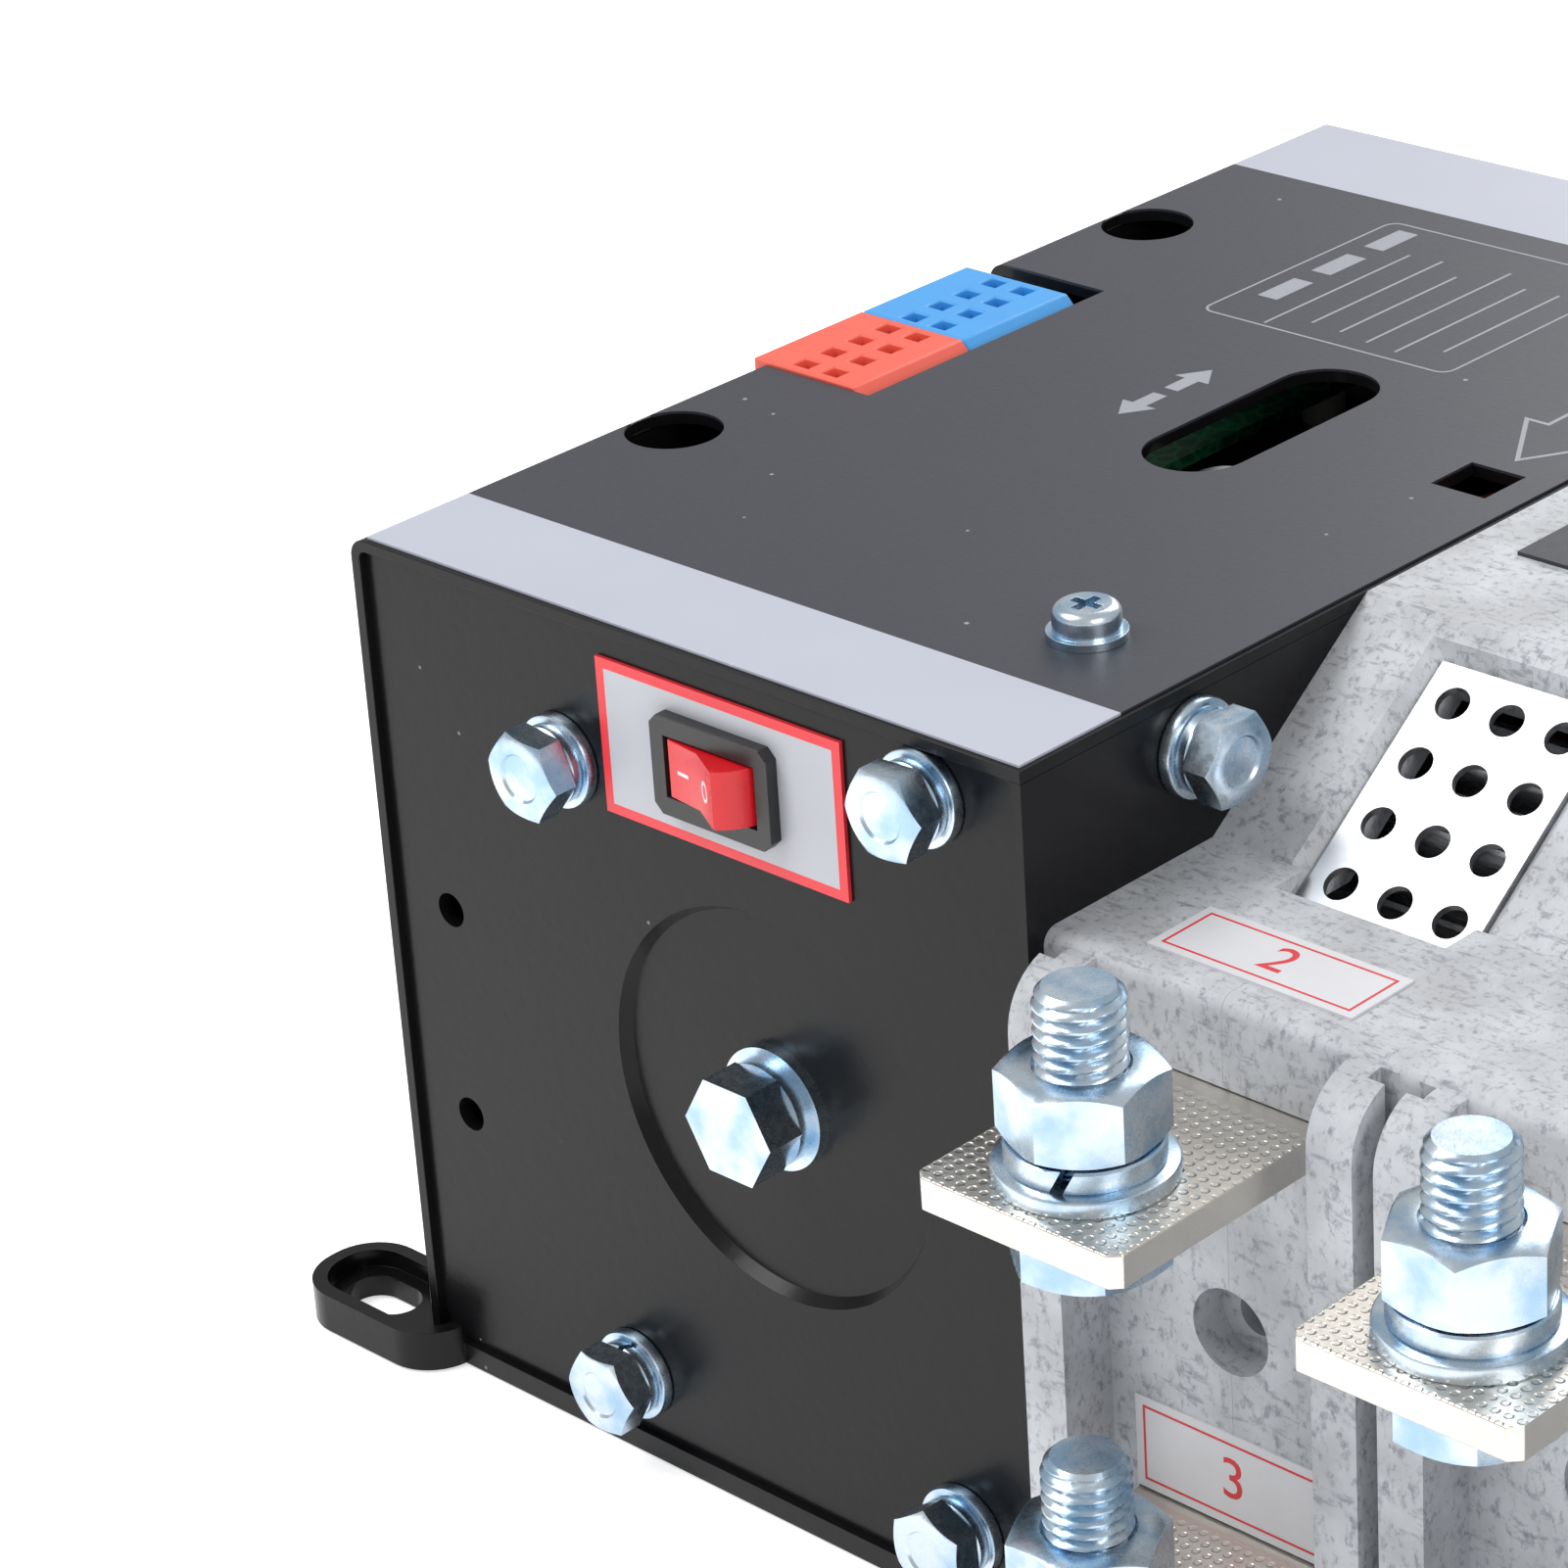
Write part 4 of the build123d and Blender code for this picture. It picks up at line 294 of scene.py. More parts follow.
def bordered_plate(name, node, border, silver, red):
    """Silver plate printed with a border round its outline in X and Z."""
    low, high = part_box(node)
    f = Finish(name)
    x, z = f.axis("X"), f.axis("Z")
    sides = (x < low.x + border) + (x > high.x - border)
    edge = sides + (z < low.z + border) + (z > high.z - border)
    shade = f.noise(0.01, 3.0)
    body = f.blend(shade, silver, tuple(part * 0.9 for part in silver))
    return f.surface(
        Base_Color=f.blend(edge > 0.5, body, red),
        Roughness=0.32 + shade * 0.1,
        Normal=f.bump(f.noise(0.0008), 0.00001),
    )


def circuit_board():
    """Green solder mask with bright tracks under it."""
    f = Finish("circuit_board")
    tracks = (f.cells(0.0032, feature="DISTANCE_TO_EDGE") < 0.09) * 1.0
    return f.surface(
        Base_Color=f.blend(tracks, (0.012, 0.11, 0.05), (0.03, 0.22, 0.10)),
        Roughness=0.30 + f.noise(0.003) * 0.1,
        Normal=f.bump(tracks, 0.00004),
    )


def wound_coil():
    """Yellow tape wrapped round a winding, each turn overlapping the last."""
    turns_per_metre = 160.0
    f = Finish("wound_coil")
    turns = f.add("Math", {"operation": "FRACT"}, {0: f.axis("Y") * turns_per_metre})
    cloth = f.noise(0.0006, 2.0)
    return f.surface(
        Base_Color=f.blend(turns, (0.55, 0.38, 0.06), (0.72, 0.54, 0.12)),
        Roughness=0.5 + cloth * 0.2,
        Normal=f.bump(turns + cloth * 0.2, 0.0001),
    )


# Light colour, dark colour and roughness of each plastic, then its grain where it isn't the usual one.
PLASTICS = {
    "silver_film": ((0.70, 0.70, 0.72), (0.60, 0.60, 0.63), 0.30),
    "black_plastic": ((0.012, 0.012, 0.013), (0.020, 0.020, 0.021), 0.30),
    "white_plastic": ((0.72, 0.71, 0.66), (0.62, 0.61, 0.57), 0.42),
    "red_plastic": ((0.86, 0.13, 0.085), (0.76, 0.10, 0.06), 0.36),
    "rocker_red": ((0.72, 0.012, 0.02), (0.60, 0.008, 0.014), 0.20),
    "blue_plastic": ((0.06, 0.36, 0.80), (0.045, 0.30, 0.70), 0.36),
    "brown_plastic": ((0.10, 0.045, 0.02), (0.06, 0.025, 0.012), 0.34),
    "red_fibre": ((0.32, 0.06, 0.035), (0.22, 0.04, 0.025), 0.6, 0.0008),
    "print_white": ((0.72, 0.73, 0.75), (0.66, 0.67, 0.69), 0.42, 0.0006),
    "print_grey": ((0.34, 0.35, 0.39), (0.28, 0.29, 0.33), 0.45, 0.0006),
}

# Light colour, dark colour and roughness of each metal, then the three factors that stretch its grain.
METALS = {
    "bare_steel": ((0.60, 0.61, 0.62), (0.44, 0.45, 0.47), 0.26, (1, 0.1, 1)),
    "arc_steel": ((0.80, 0.81, 0.82), (0.62, 0.63, 0.66), 0.20, (0.1, 1, 1)),
    "aluminium_sheet": ((0.72, 0.73, 0.76), (0.58, 0.59, 0.62), 0.30, (0.15, 1, 1)),
    "bare_copper": ((0.82, 0.45, 0.30), (0.62, 0.30, 0.18), 0.24, (1, 1, 0.1)),
    "sintered_bronze": ((0.58, 0.42, 0.22), (0.42, 0.29, 0.14), 0.42, (1, 1, 1)),
}

# Nodes whose finish is not the one of their material slot.
NODE_FINISH = {
    "mode_plate": "mode_plate",
    "arc_plates": "arc_steel",
    "rocker_button": "rocker_red",
    "pole_plate": "print_slate",
}

# Every finish by name, filled by the first operator.
FINISHES = {}


def build_finishes(looks):
    """Every finish of the switch by name."""
    slate, silver, red = tuple(looks.slate), tuple(looks.silver), tuple(looks.print_red)
    dark_red = tuple(part * 0.8 for part in red)
    dark_slate = tuple(part * 0.85 for part in slate)
    border = 1.3 * MM
    finishes = {name: moulded_plastic(name, *look) for name, look in PLASTICS.items()}
    finishes |= {name: brushed_metal(name, *look) for name, look in METALS.items()}
    finishes |= {
        "black_enamel": black_enamel(),
        "grey_compound": moulded_compound(),
        "zinc_plate": zinc_plate(),
        "tinned_copper": tinned_copper(),
        "circuit_board": circuit_board(),
        "coil_wrap": wound_coil(),
        "label_film": printed_cover_film(looks.front_strip, looks.rear_strip, slate, silver),
        "mode_plate": bordered_plate("mode_plate_film", "mode_plate", border, (0.46, 0.47, 0.51), red),
        "print_red": moulded_plastic("print_red", red, dark_red, 0.42, 0.0006),
        "print_slate": moulded_plastic("print_slate", slate, dark_slate, 0.4),
    }
    return finishes


def finish_of(node):
    """The finish that a CAD node wears."""
    return FINISHES[NODE_FINISH.get(node, SLOT_OF[node])]


# ---------------------------------------------------------------- meshes
def linked(name, data):
    """An object at the origin that carries a mesh, curve, lamp or camera."""
    piece = bpy.data.objects.new(name, data)
    bpy.context.scene.collection.objects.link(piece)
    return piece


def mesh_of(name, points, faces):
    """A mesh from points and faces."""
    mesh = bpy.data.meshes.new(name)
    mesh.from_pydata([tuple(point) for point in points], [], faces)
    mesh.update()
    return mesh


def merged_copy(node):
    """A working copy of a CAD node's mesh with its doubled points merged; the caller frees it."""
    work = bmesh.new()
    work.from_mesh(frame["nodes"][node].data)
    bmesh.ops.remove_doubles(work, verts=work.verts, dist=0.002 * MM)
    return work


def islands(node):
    """(lowest corner, highest corner) of every separate solid in a CAD node."""
    work = merged_copy(node)
    seen = set()
    boxes = []
    for start in work.verts:
        if start in seen:
            continue
        seen.add(start)
        stack = [start]
        members = []
        while stack:
            vert = stack.pop()
            members.append(vert.co.copy())
            for edge in vert.link_edges:
                other = edge.other_vert(vert)
                if other not in seen:
                    seen.add(other)
                    stack.append(other)
        low = Vector([min(co[axis] for co in members) for axis in range(3)])
        high = Vector([max(co[axis] for co in members) for axis in range(3)])
        boxes.append((low, high))
    work.free()
    return boxes


def applied(piece):
    """Turns a piece with modifiers into a plain mesh object at the origin."""
    bpy.context.view_layer.update()
    evaluated = piece.evaluated_get(bpy.context.evaluated_depsgraph_get())
    mesh = bpy.data.meshes.new_from_object(evaluated)
    name = piece.name
    bpy.data.objects.remove(piece)
    mesh.name = name
    return linked(name, mesh)


def shade(piece):
    """Smooth shading that keeps the edges where faces turn by more than a limit."""
    piece.data.shade_smooth()
    work = bmesh.new()
    work.from_mesh(piece.data)
    limit = math.radians(35.0)
    for edge in work.edges:
        edge.smooth = len(edge.link_faces) == 2 and edge.calc_face_angle(0.0) < limit
    work.to_mesh(piece.data)
    work.free()


def settle(piece, body, nodes=(), finish=None):
    """Gives a finished piece its finish when one is given, hangs it on its body and hides the CAD nodes that it
    stands for.
    """
    if finish is not None:
        piece.data.materials.clear()
        piece.data.materials.append(finish)
    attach(piece, body)
    if nodes:
        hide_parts(*nodes)
    return piece


def copied(node, name, flat_angle=None):
    """An object with a CAD node's merged mesh, its faces joined where they are flat to an angle."""
    work = merged_copy(node)
    if flat_angle is not None:
        bmesh.ops.dissolve_limit(work, angle_limit=flat_angle, verts=work.verts, edges=work.edges)
    mesh = bpy.data.meshes.new(name)
    work.to_mesh(mesh)
    work.free()
    piece = linked(name, mesh)
    shade(piece)
    return piece


def eased(node, width):
    """Replaces a CAD node by a copy with a fine rounding on its edges."""
    piece = copied(node, node + "_eased", math.radians(0.6))
    bevel = piece.modifiers.new("ease", "BEVEL")
    bevel.width = width
    bevel.segments = 2
    bevel.limit_method = "ANGLE"
    bevel.angle_limit = math.radians(40)
    bevel.use_clamp_overlap = True
    bevel.harden_normals = True
    level = piece.modifiers.new("level", "WEIGHTED_NORMAL")
    level.weight = 100
    level.keep_sharp = True
    settle(applied(piece), BODY_OF[node], [node], finish_of(node))


# ---------------------------------------------------------------- hardware shapes
TURN_STEPS = 48
THREAD_STEPS = 32
ROWS_PER_PITCH = 6
CONE_SHARE = 0.96  # share of a hexagon's flats that is left level inside its chamfer


def ring(radius, height, steps=TURN_STEPS):
    """Points of a ring; radius and height are each a number or a function of the angle."""
    points = []
    for step in range(steps):
        angle = 2 * math.pi * step / steps
        reach = radius(angle) if callable(radius) else radius
        level = height(angle) if callable(height) else height
        points.append((reach * math.cos(angle), reach * math.sin(angle), level))
    return points


def stacked(name, rings, hollow=False):
    """A mesh skinned over rings in order: a loop of rings when hollow, else capped at both ends."""
    steps = len(rings[0])
    points = [point for loop in rings for point in loop]
    faces = []
    for level in range(len(rings) if hollow else len(rings) - 1):
        here = level * steps
        there = (level + 1) % len(rings) * steps
        for step in range(steps):
            after = (step + 1) % steps
            faces.append((here + step, here + after, there + after, there + step))
    if not hollow:
        faces.append(tuple(range(steps - 1, -1, -1)))
        faces.append(tuple(range(len(points) - steps, len(points))))
    return mesh_of(name, points, faces)


def hex_reach(flats):
    """Distance from a hexagon's middle to its side, as a function of the angle."""

    def reach(angle):
        folded = (angle + math.pi / 6) % (math.pi / 3) - math.pi / 6
        return flats / 2 / math.cos(folded)

    return reach


def chamfered(flats, height):
    """Height of a hexagon's top edge, as a function of the angle, once a cone has cut its corners."""
    reach = hex_reach(flats)
    slope = math.tan(math.radians(30))
    return lambda angle: height - (reach(angle) - CONE_SHARE * flats / 2) * slope


def nut_mesh(flats, height, bore):
    """A hex nut with both faces chamfered and its bore countersunk."""
    lift = chamfered(flats, height)
    sink = 0.6 * MM
    rings = [
        ring(bore, sink),
        ring(bore + sink, 0),
        ring(CONE_SHARE * flats / 2, 0),
        ring(hex_reach(flats), lambda angle: height - lift(angle)),
        ring(hex_reach(flats), lift),
        ring(CONE_SHARE * flats / 2, height),
        ring(bore + sink, height),
        ring(bore, height - sink),
    ]
    return stacked("nut", rings, hollow=True)


def head_rings(flats, height, dish):
    """Rings of a bolt head, from its bearing face up to its dished top."""
    lift = chamfered(flats, height)
    bearing, dish_rim, dish_floor = 0.95, 0.62, 0.56
    bearing_height = 0.25 * MM
    return [
        ring(bearing * flats / 2, 0),
        ring(bearing * flats / 2, bearing_height),
        ring(hex_reach(flats), bearing_height),
        ring(hex_reach(flats), lift),
        ring(CONE_SHARE * flats / 2, height),
        ring(dish_rim * flats / 2, height),
        ring(dish_floor * flats / 2, height - dish),
    ]


def thread_rings(radius, pitch, length, depth):
    """Rings of a rod with a helical thread, flat at its crests, and a chamfered end."""
    crest_gain = 1.25
    end_depth = depth * 1.3
    rows = int(length / pitch * ROWS_PER_PITCH)
    rings = []
    for row in range(rows + 1):
        along = length * row / rows

        def reach(angle, along=along):
            phase = (along / pitch - angle / (2 * math.pi)) % 1.0
            crest = 1 - abs(2 * phase - 1)
            cut = radius - depth * (1 - min(1.0, crest * crest_gain))
            return min(cut, radius - end_depth + max(0.0, length - along))

        rings.append(ring(reach, along, THREAD_STEPS))
    return rings


def mirrored_down(rings):
    """Rings turned to the underside, still running the same way round."""
    return [[(x, -y, -z) for x, y, z in loop] for loop in rings]


def joined(name, meshes):
    """One mesh from several."""
    work = bmesh.new()
    for mesh in meshes:
        work.from_mesh(mesh)
        bpy.data.meshes.remove(mesh)
    bmesh.ops.recalc_face_normals(work, faces=work.faces)
    mesh = bpy.data.meshes.new(name)
    work.to_mesh(mesh)
    work.free()
    return mesh


def spring_washer_mesh(outer, inner, height):
    """A split washer whose cut runs across it at a slant."""
    slant = math.radians(9)
    gap = math.radians(5)
    corner = 0.25 * MM
    section = [
        (inner, corner),
        (inner + corner, 0),
        (outer - corner, 0),
        (outer, corner),
        (outer, height - corner),
        (outer - corner, height),
        (inner + corner, height),
        (inner, height - corner),
    ]
    rings = []
    for step in range(TURN_STEPS + 1):
        turned = gap + (2 * math.pi - 2 * gap) * step / TURN_STEPS
        rings.append([])
        for radius, level in section:
            angle = turned + slant * level / height
            rings[-1].append((radius * math.cos(angle), radius * math.sin(angle), level))
    return stacked("spring_washer", rings)


def flat_washer_mesh(outer, inner, height):
    """A punched washer with a rolled upper edge."""
    roll = min(0.35 * MM, height / 3)
    rings = [
        ring(inner, 0),
        ring(outer - roll / 2, 0),
        ring(outer, roll / 2),
        ring(outer, height - roll),
        ring(outer - roll * 0.3, height - roll * 0.3),
        ring(outer - roll, height),
        ring(inner + roll / 2, height),
        ring(inner, height - roll / 2),
    ]
    return stacked("flat_washer", rings, hollow=True)


# ---------------------------------------------------------------- repeated hardware
def fastener_tree():
    """Geometry Nodes that stand a template on every point, facing its own way and turned at random."""
    tree = bpy.data.node_groups.new("stand_on_points", "GeometryNodeTree")
    inputs = {
        "Points": "NodeSocketGeometry",
        "Template": "NodeSocketObject",
        "Turn Spread": "NodeSocketFloat",
        "Seed": "NodeSocketInt",
        "Finish": "NodeSocketMaterial",
    }
    for name, kind in inputs.items():
        tree.interface.new_socket(name, in_out="INPUT", socket_type=kind)
    tree.interface.new_socket("Mesh", in_out="OUTPUT", socket_type="NodeSocketGeometry")

    def node(kind, settings, links):
        made = tree.nodes.new(kind)
        for key, value in settings.items():
            setattr(made, key, value)
        for key, value in links.items():
            if isinstance(value, bpy.types.NodeSocket):
                tree.links.new(value, made.inputs[key])
            else:
                made.inputs[key].default_value = value
        return made

    start = node("NodeGroupInput", {}, {})
    vector = {"data_type": "FLOAT_VECTOR"}
    facing = node("GeometryNodeInputNamedAttribute", vector, {"Name": "facing"})
    aim = node("FunctionNodeAlignRotationToVector", {"axis": "Z"}, {"Vector": facing.outputs[0]})
    largest = 3  # the input that is the Max of a random number
    turn = node(
        "FunctionNodeRandomValue",
        {"data_type": "FLOAT"},
        {largest: start.outputs["Turn Spread"], "Seed": start.outputs["Seed"]},
    )
    spin = node("FunctionNodeAxisAngleToRotation", {}, {"Axis": (0, 0, 1), "Angle": turn.outputs[1]})
    both = node(
        "FunctionNodeRotateRotation",
        {"rotation_space": "LOCAL"},
        {"Rotation": aim.outputs[0], "Rotate By": spin.outputs[0]},
    )
    template = node("GeometryNodeObjectInfo", {}, {"Object": start.outputs["Template"]})
    stand = node(
        "GeometryNodeInstanceOnPoints",
        {},
        {
            "Points": start.outputs["Points"],
            "Instance": template.outputs["Geometry"],
            "Rotation": both.outputs[0],
        },
    )
    real = node("GeometryNodeRealizeInstances", {}, {"Geometry": stand.outputs[0]})
    coated = node(
        "GeometryNodeSetMaterial",
        {},
        {"Geometry": real.outputs[0], "Material": start.outputs["Finish"]},
    )
    node("NodeGroupOutput", {}, {"Mesh": coated.outputs[0]})
    return tree


def repeated(name, template_mesh, stands, turn_spread, seed, nodes=()):
    """Zinc-plated hardware for CAD nodes, with the template standing at each (point, direction)."""
    tree = bpy.data.node_groups.get("stand_on_points") or fastener_tree()
    template = bpy.data.objects.new(name + "_template", template_mesh)
    points = mesh_of(name, [point for point, _ in stands], [])
    facing = points.attributes.new("facing", "FLOAT_VECTOR", "POINT")
    for place, (_, direction) in enumerate(stands):
        facing.data[place].vector = direction
    piece = linked(name, points)
    modifier = piece.modifiers.new("stand", "NODES")
    modifier.node_group = tree
    zinc = FINISHES["zinc_plate"]
    values = {"Template": template, "Turn Spread": turn_spread, "Seed": seed, "Finish": zinc}
    for item in tree.interface.items_tree:
        if item.in_out == "INPUT" and item.name in values:
            modifier[item.identifier] = values[item.name]
    piece = applied(piece)
    bpy.data.objects.remove(template)
    shade(piece)
    settle(piece, "housing", nodes)


def solid_size(node):
    """Width, depth and height of a node's first solid."""
    low, high = islands(node)[0]
    return [top - bottom for bottom, top in zip(low, high)]


def stands_of(node, lift=0.0):
    """Bottom centre, raised by a lift, and upward direction of every solid in a node."""
    stands = []
    for low, high in islands(node):
        middle = (low + high) / 2
        stands.append((Vector((middle.x, middle.y, low.z + lift)), UP))
    return stands


def outward(low, high):
    """Direction of a panel bolt's longest side, pointing out of the operator box."""
    size = high - low
    axis = max(range(3), key=lambda place: size[place])
    panel_low, panel_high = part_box("base_plate")
    aside = (low + high)[axis] / 2 - (panel_low + panel_high)[axis] / 2
    direction = Vector((0, 0, 0))
    # Bolts along X all point at the poles; the others point away from the box's middle.
    direction[axis] = 1.0 if axis == 0 else math.copysign(1.0, aside)
    return direction


# ---------------------------------------------------------------- settings
class SwitchLooks(bpy.types.PropertyGroup):
    """Sizes and colours of the switch that a user would change."""

    front_strip: bpy.props.FloatProperty(
        name="Front strip",
        description="Depth of the silver strip at the front",
        default=16.5 * MM,
        unit="LENGTH",
    )
    rear_strip: bpy.props.FloatProperty(
        name="Rear strip",
        description="Depth of the silver strip at the rear",
        default=20.3 * MM,
        unit="LENGTH",
    )
    slate: bpy.props.FloatVectorProperty(
        name="Slate",
        description="Colour of the cover's printed field",
        default=(0.028, 0.030, 0.042),
        subtype="COLOR",
    )
    silver: bpy.props.FloatVectorProperty(
        name="Silver",
        description="Colour of the cover's strips",
        default=(0.48, 0.50, 0.58),
        subtype="COLOR",
    )
    print_red: bpy.props.FloatVectorProperty(
        name="Print red",
        description="Colour of borders and numbers",
        default=(0.72, 0.03, 0.04),
        subtype="COLOR",
    )
    thread_pitch: bpy.props.FloatProperty(
        name="Stud pitch",
        description="Pitch of the terminal studs",
        default=1.5 * MM,
        unit="LENGTH",
    )
    edge_round: bpy.props.FloatProperty(
        name="Mould rounding",
        description="Rounding of the moulded edges",
        default=0.5 * MM,
        unit="LENGTH",
    )
    sheet_round: bpy.props.FloatProperty(
        name="Sheet rounding",
        description="Rounding of the edges of coated sheet, plastic and bars",
        default=0.3 * MM,
        unit="LENGTH",
    )


# ---------------------------------------------------------------- operators
class SwitchOperator:
    """Shared parts of the switch's operators."""

    bl_options = {"REGISTER"}

    def looks(self, context):
        return context.scene.switch_looks


class SWITCH_OT_finish_nodes(SwitchOperator, bpy.types.Operator):
    """Gives every CAD node its finish"""

    bl_idname = "switch.finish_nodes"
    bl_label = "Finish the nodes"

    def execute(self, context):
        FINISHES.update(build_finishes(self.looks(context)))
        for node, piece in frame["nodes"].items():
            if not piece.material_slots:
                piece.data.materials.append(None)
            for slot in piece.material_slots:
                slot.material = finish_of(node)
        return {"FINISHED"}


class SWITCH_OT_ease_edges(SwitchOperator, bpy.types.Operator):
    """Rounds the edges of moulded parts, coated sheet and bars"""

    bl_idname = "switch.ease_edges"
    bl_label = "Ease the edges"

    def execute(self, context):
        looks = self.looks(context)
        moulded = ["pole_1_shells", "pole_2_shells", "pole_3_shells"]
        coated = ["top_cover", "front_panel", "rear_panel", "base_plate", "end_plate", "side_plate"]
        plastic = ["red_plug", "blue_plug", "rocker_bezel", "rocker_button"]
        metal = ["supply_terminals", "load_terminals", "vent_plates", "cover_screws", "lever_bracket"]
        for node in moulded:
            eased(node, looks.edge_round)
        for node in coated + plastic + metal:
            eased(node, looks.sheet_round)
        return {"FINISHED"}


class SWITCH_OT_spring(SwitchOperator, bpy.types.Operator):
    """Replaces the solenoid's return spring by a smooth-shaded copy on the housing"""

    bl_idname = "switch.spring"
    bl_label = "Return spring"

    def execute(self, context):
        node = "return_spring"
        low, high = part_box(node)
        piece = copied(node, "spring_coil")
        settle(piece, "housing", [node], finish_of(node))
        travel = JOINTS["plunger_slide"]["range_m"][1]
        spare = 0.5 * MM
        keep = 1 - (travel + spare) / (high.y - low.y)
        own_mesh(piece)
        return {"FINISHED"}


class SWITCH_OT_terminal_hardware(SwitchOperator, bpy.types.Operator):
    """Makes the threaded studs, nuts and washers of the terminals"""

    bl_idname = "switch.terminal_hardware"
    bl_label = "Terminal hardware"

    def execute(self, context):
        pitch = self.looks(context).thread_pitch
        radius = MOUNTS["supply_studs_outer"]["dims"]["stud_r_mm"] * MM
        head_height, dish, thread_depth = 6.4 * MM, 0.4 * MM, 0.85 * MM
        bite = 0.3 * MM  # how far the nut's bore reaches into the stud's thread
        nut_width, nut_depth, nut_height = solid_size("terminal_nuts")
        flat_width, _, flat_height = solid_size("terminal_flat_washers")
        split_width, _, split_height = solid_size("terminal_spring_washers")
        length = solid_size("terminal_bolts")[2] - head_height
        flats = min(nut_width, nut_depth)

        head = stacked("head", mirrored_down(head_rings(flats, head_height, dish)))
        rod = stacked("rod", thread_rings(radius, pitch, length, thread_depth))
        stud = joined("stud", [head, rod])
        nut = nut_mesh(flats, nut_height, radius - bite)
        flat = flat_washer_mesh(flat_width / 2, radius, flat_height)
        split = spring_washer_mesh(split_width / 2, radius, split_height)
        # Name, shape, node, lift, spread of the random turns in radians, and their seed.
        rows = (
            ("terminal_studs", stud, "terminal_bolts", head_height, 1.0, 3),
            ("terminal_hex_nuts", nut, "terminal_nuts", 0.0, math.pi, 11),
            ("terminal_plain_washers", flat, "terminal_flat_washers", 0.0, math.pi, 5),
            ("terminal_split_washers", split, "terminal_spring_washers", 0.0, 6.0, 23),
        )
        for name, shape, node, lift, turn_spread, seed in rows:
            repeated(name, shape, stands_of(node, lift), turn_spread, seed, [node])
        return {"FINISHED"}


class SWITCH_OT_box_bolts(SwitchOperator, bpy.types.Operator):
    """Makes the hex bolts and washers of the operator box"""

    bl_idname = "switch.box_bolts"
    bl_label = "Box bolts"

    def execute(self, context):
        flats, head_height, dish = 10.0 * MM, 4.0 * MM, 0.3 * MM
        radius, pitch, length, thread_depth = 3.0 * MM, 1.0 * MM, 10.0 * MM, 0.55 * MM
        flat_radius, split_radius, washer_height = 5.9 * MM, 5.0 * MM, 1.6 * MM
        stands = []
        for low, high in islands("panel_bolts"):
            direction = outward(low, high)
            reach = abs((high - low).dot(direction)) / 2
            stands.append(((low + high) / 2 + direction * (reach - head_height), direction))

        head = stacked("head", head_rings(flats, head_height, dish))
        rod = stacked("rod", mirrored_down(thread_rings(radius, pitch, length, thread_depth)))
        bolt = joined("bolt", [head, rod])
        flat = flat_washer_mesh(flat_radius, radius, washer_height)
        split = spring_washer_mesh(split_radius, radius, washer_height)
        # Name, shape, depth below the head, spread of the random turns in radians, their seed, nodes.
        rows = (
            ("box_hex_bolts", bolt, 0, math.pi, 4, ["panel_bolts"]),
            ("box_plain_washers", flat, 2 * washer_height, math.pi, 8, ["panel_washers"]),
            ("box_split_washers", split, washer_height, 6.0, 15, []),
        )
        for name, shape, depth, turn_spread, seed, nodes in rows:
            places = [(point - direction * depth, direction) for point, direction in stands]
            repeated(name, shape, places, turn_spread, seed, nodes)
        return {"FINISHED"}


# ---------------------------------------------------------------- printed marks
PRINT_THICKNESS = 0.03 * MM


def stroke(points, width):
    """Four-cornered pieces of a closed line with mitred corners, lying inside its points."""
    sharpest = 0.3  # limits how far a sharp corner's mitre runs
    count = len(points)
    inner = []
    for place in range(count):
        before = Vector(points[place - 1])
        here = Vector(points[place])
        after = Vector(points[(place + 1) % count])
        arrive = (here - before).normalized()
        leave = (after - here).normalized()
        normal = Vector((-arrive.y, arrive.x)) + Vector((-leave.y, leave.x))
        normal.normalize()
        scale = width / max(normal.dot(Vector((-arrive.y, arrive.x))), sharpest)
        inner.append(here + normal * scale)
    strips = []
    for place in range(count):
        after = (place + 1) % count
        strips.append([points[place], points[after], tuple(inner[after]), tuple(inner[place])])
    return strips


def oblong(middle, size):
    """Corners of an upright oblong, anticlockwise."""
    x, y = middle
    half_x, half_y = size[0] / 2, size[1] / 2
    return [(x + u * half_x, y + v * half_y) for u, v in ((-1, -1), (1, -1), (1, 1), (-1, 1))]


def rounded_oblong(middle, size, radius):
    """Outline of an oblong with round corners, anticlockwise."""
    steps = 6
    points = []
    for quarter, (side_x, side_y) in enumerate(((1, 1), (-1, 1), (-1, -1), (1, -1))):
        corner_x = middle[0] + side_x * (size[0] / 2 - radius)
        corner_y = middle[1] + side_y * (size[1] / 2 - radius)
        for step in range(steps + 1):
            angle = math.pi / 2 * (quarter + step / steps)
            points.append((corner_x + radius * math.cos(angle), corner_y + radius * math.sin(angle)))
    return points


def arrow(tail, tip, width, head_width, head_length):
    """Outline of an arrow from tail to tip, anticlockwise."""
    tail, tip = Vector(tail), Vector(tip)
    along = (tip - tail).normalized()
    aside = Vector((-along.y, along.x))
    neck = tip - along * head_length
    outline = [
        tail - aside * width / 2,
        neck - aside * width / 2,
        neck - aside * head_width / 2,
        tip,
        neck + aside * head_width / 2,
        neck + aside * width / 2,
        tail + aside * width / 2,
    ]
    return [tuple(point) for point in outline]


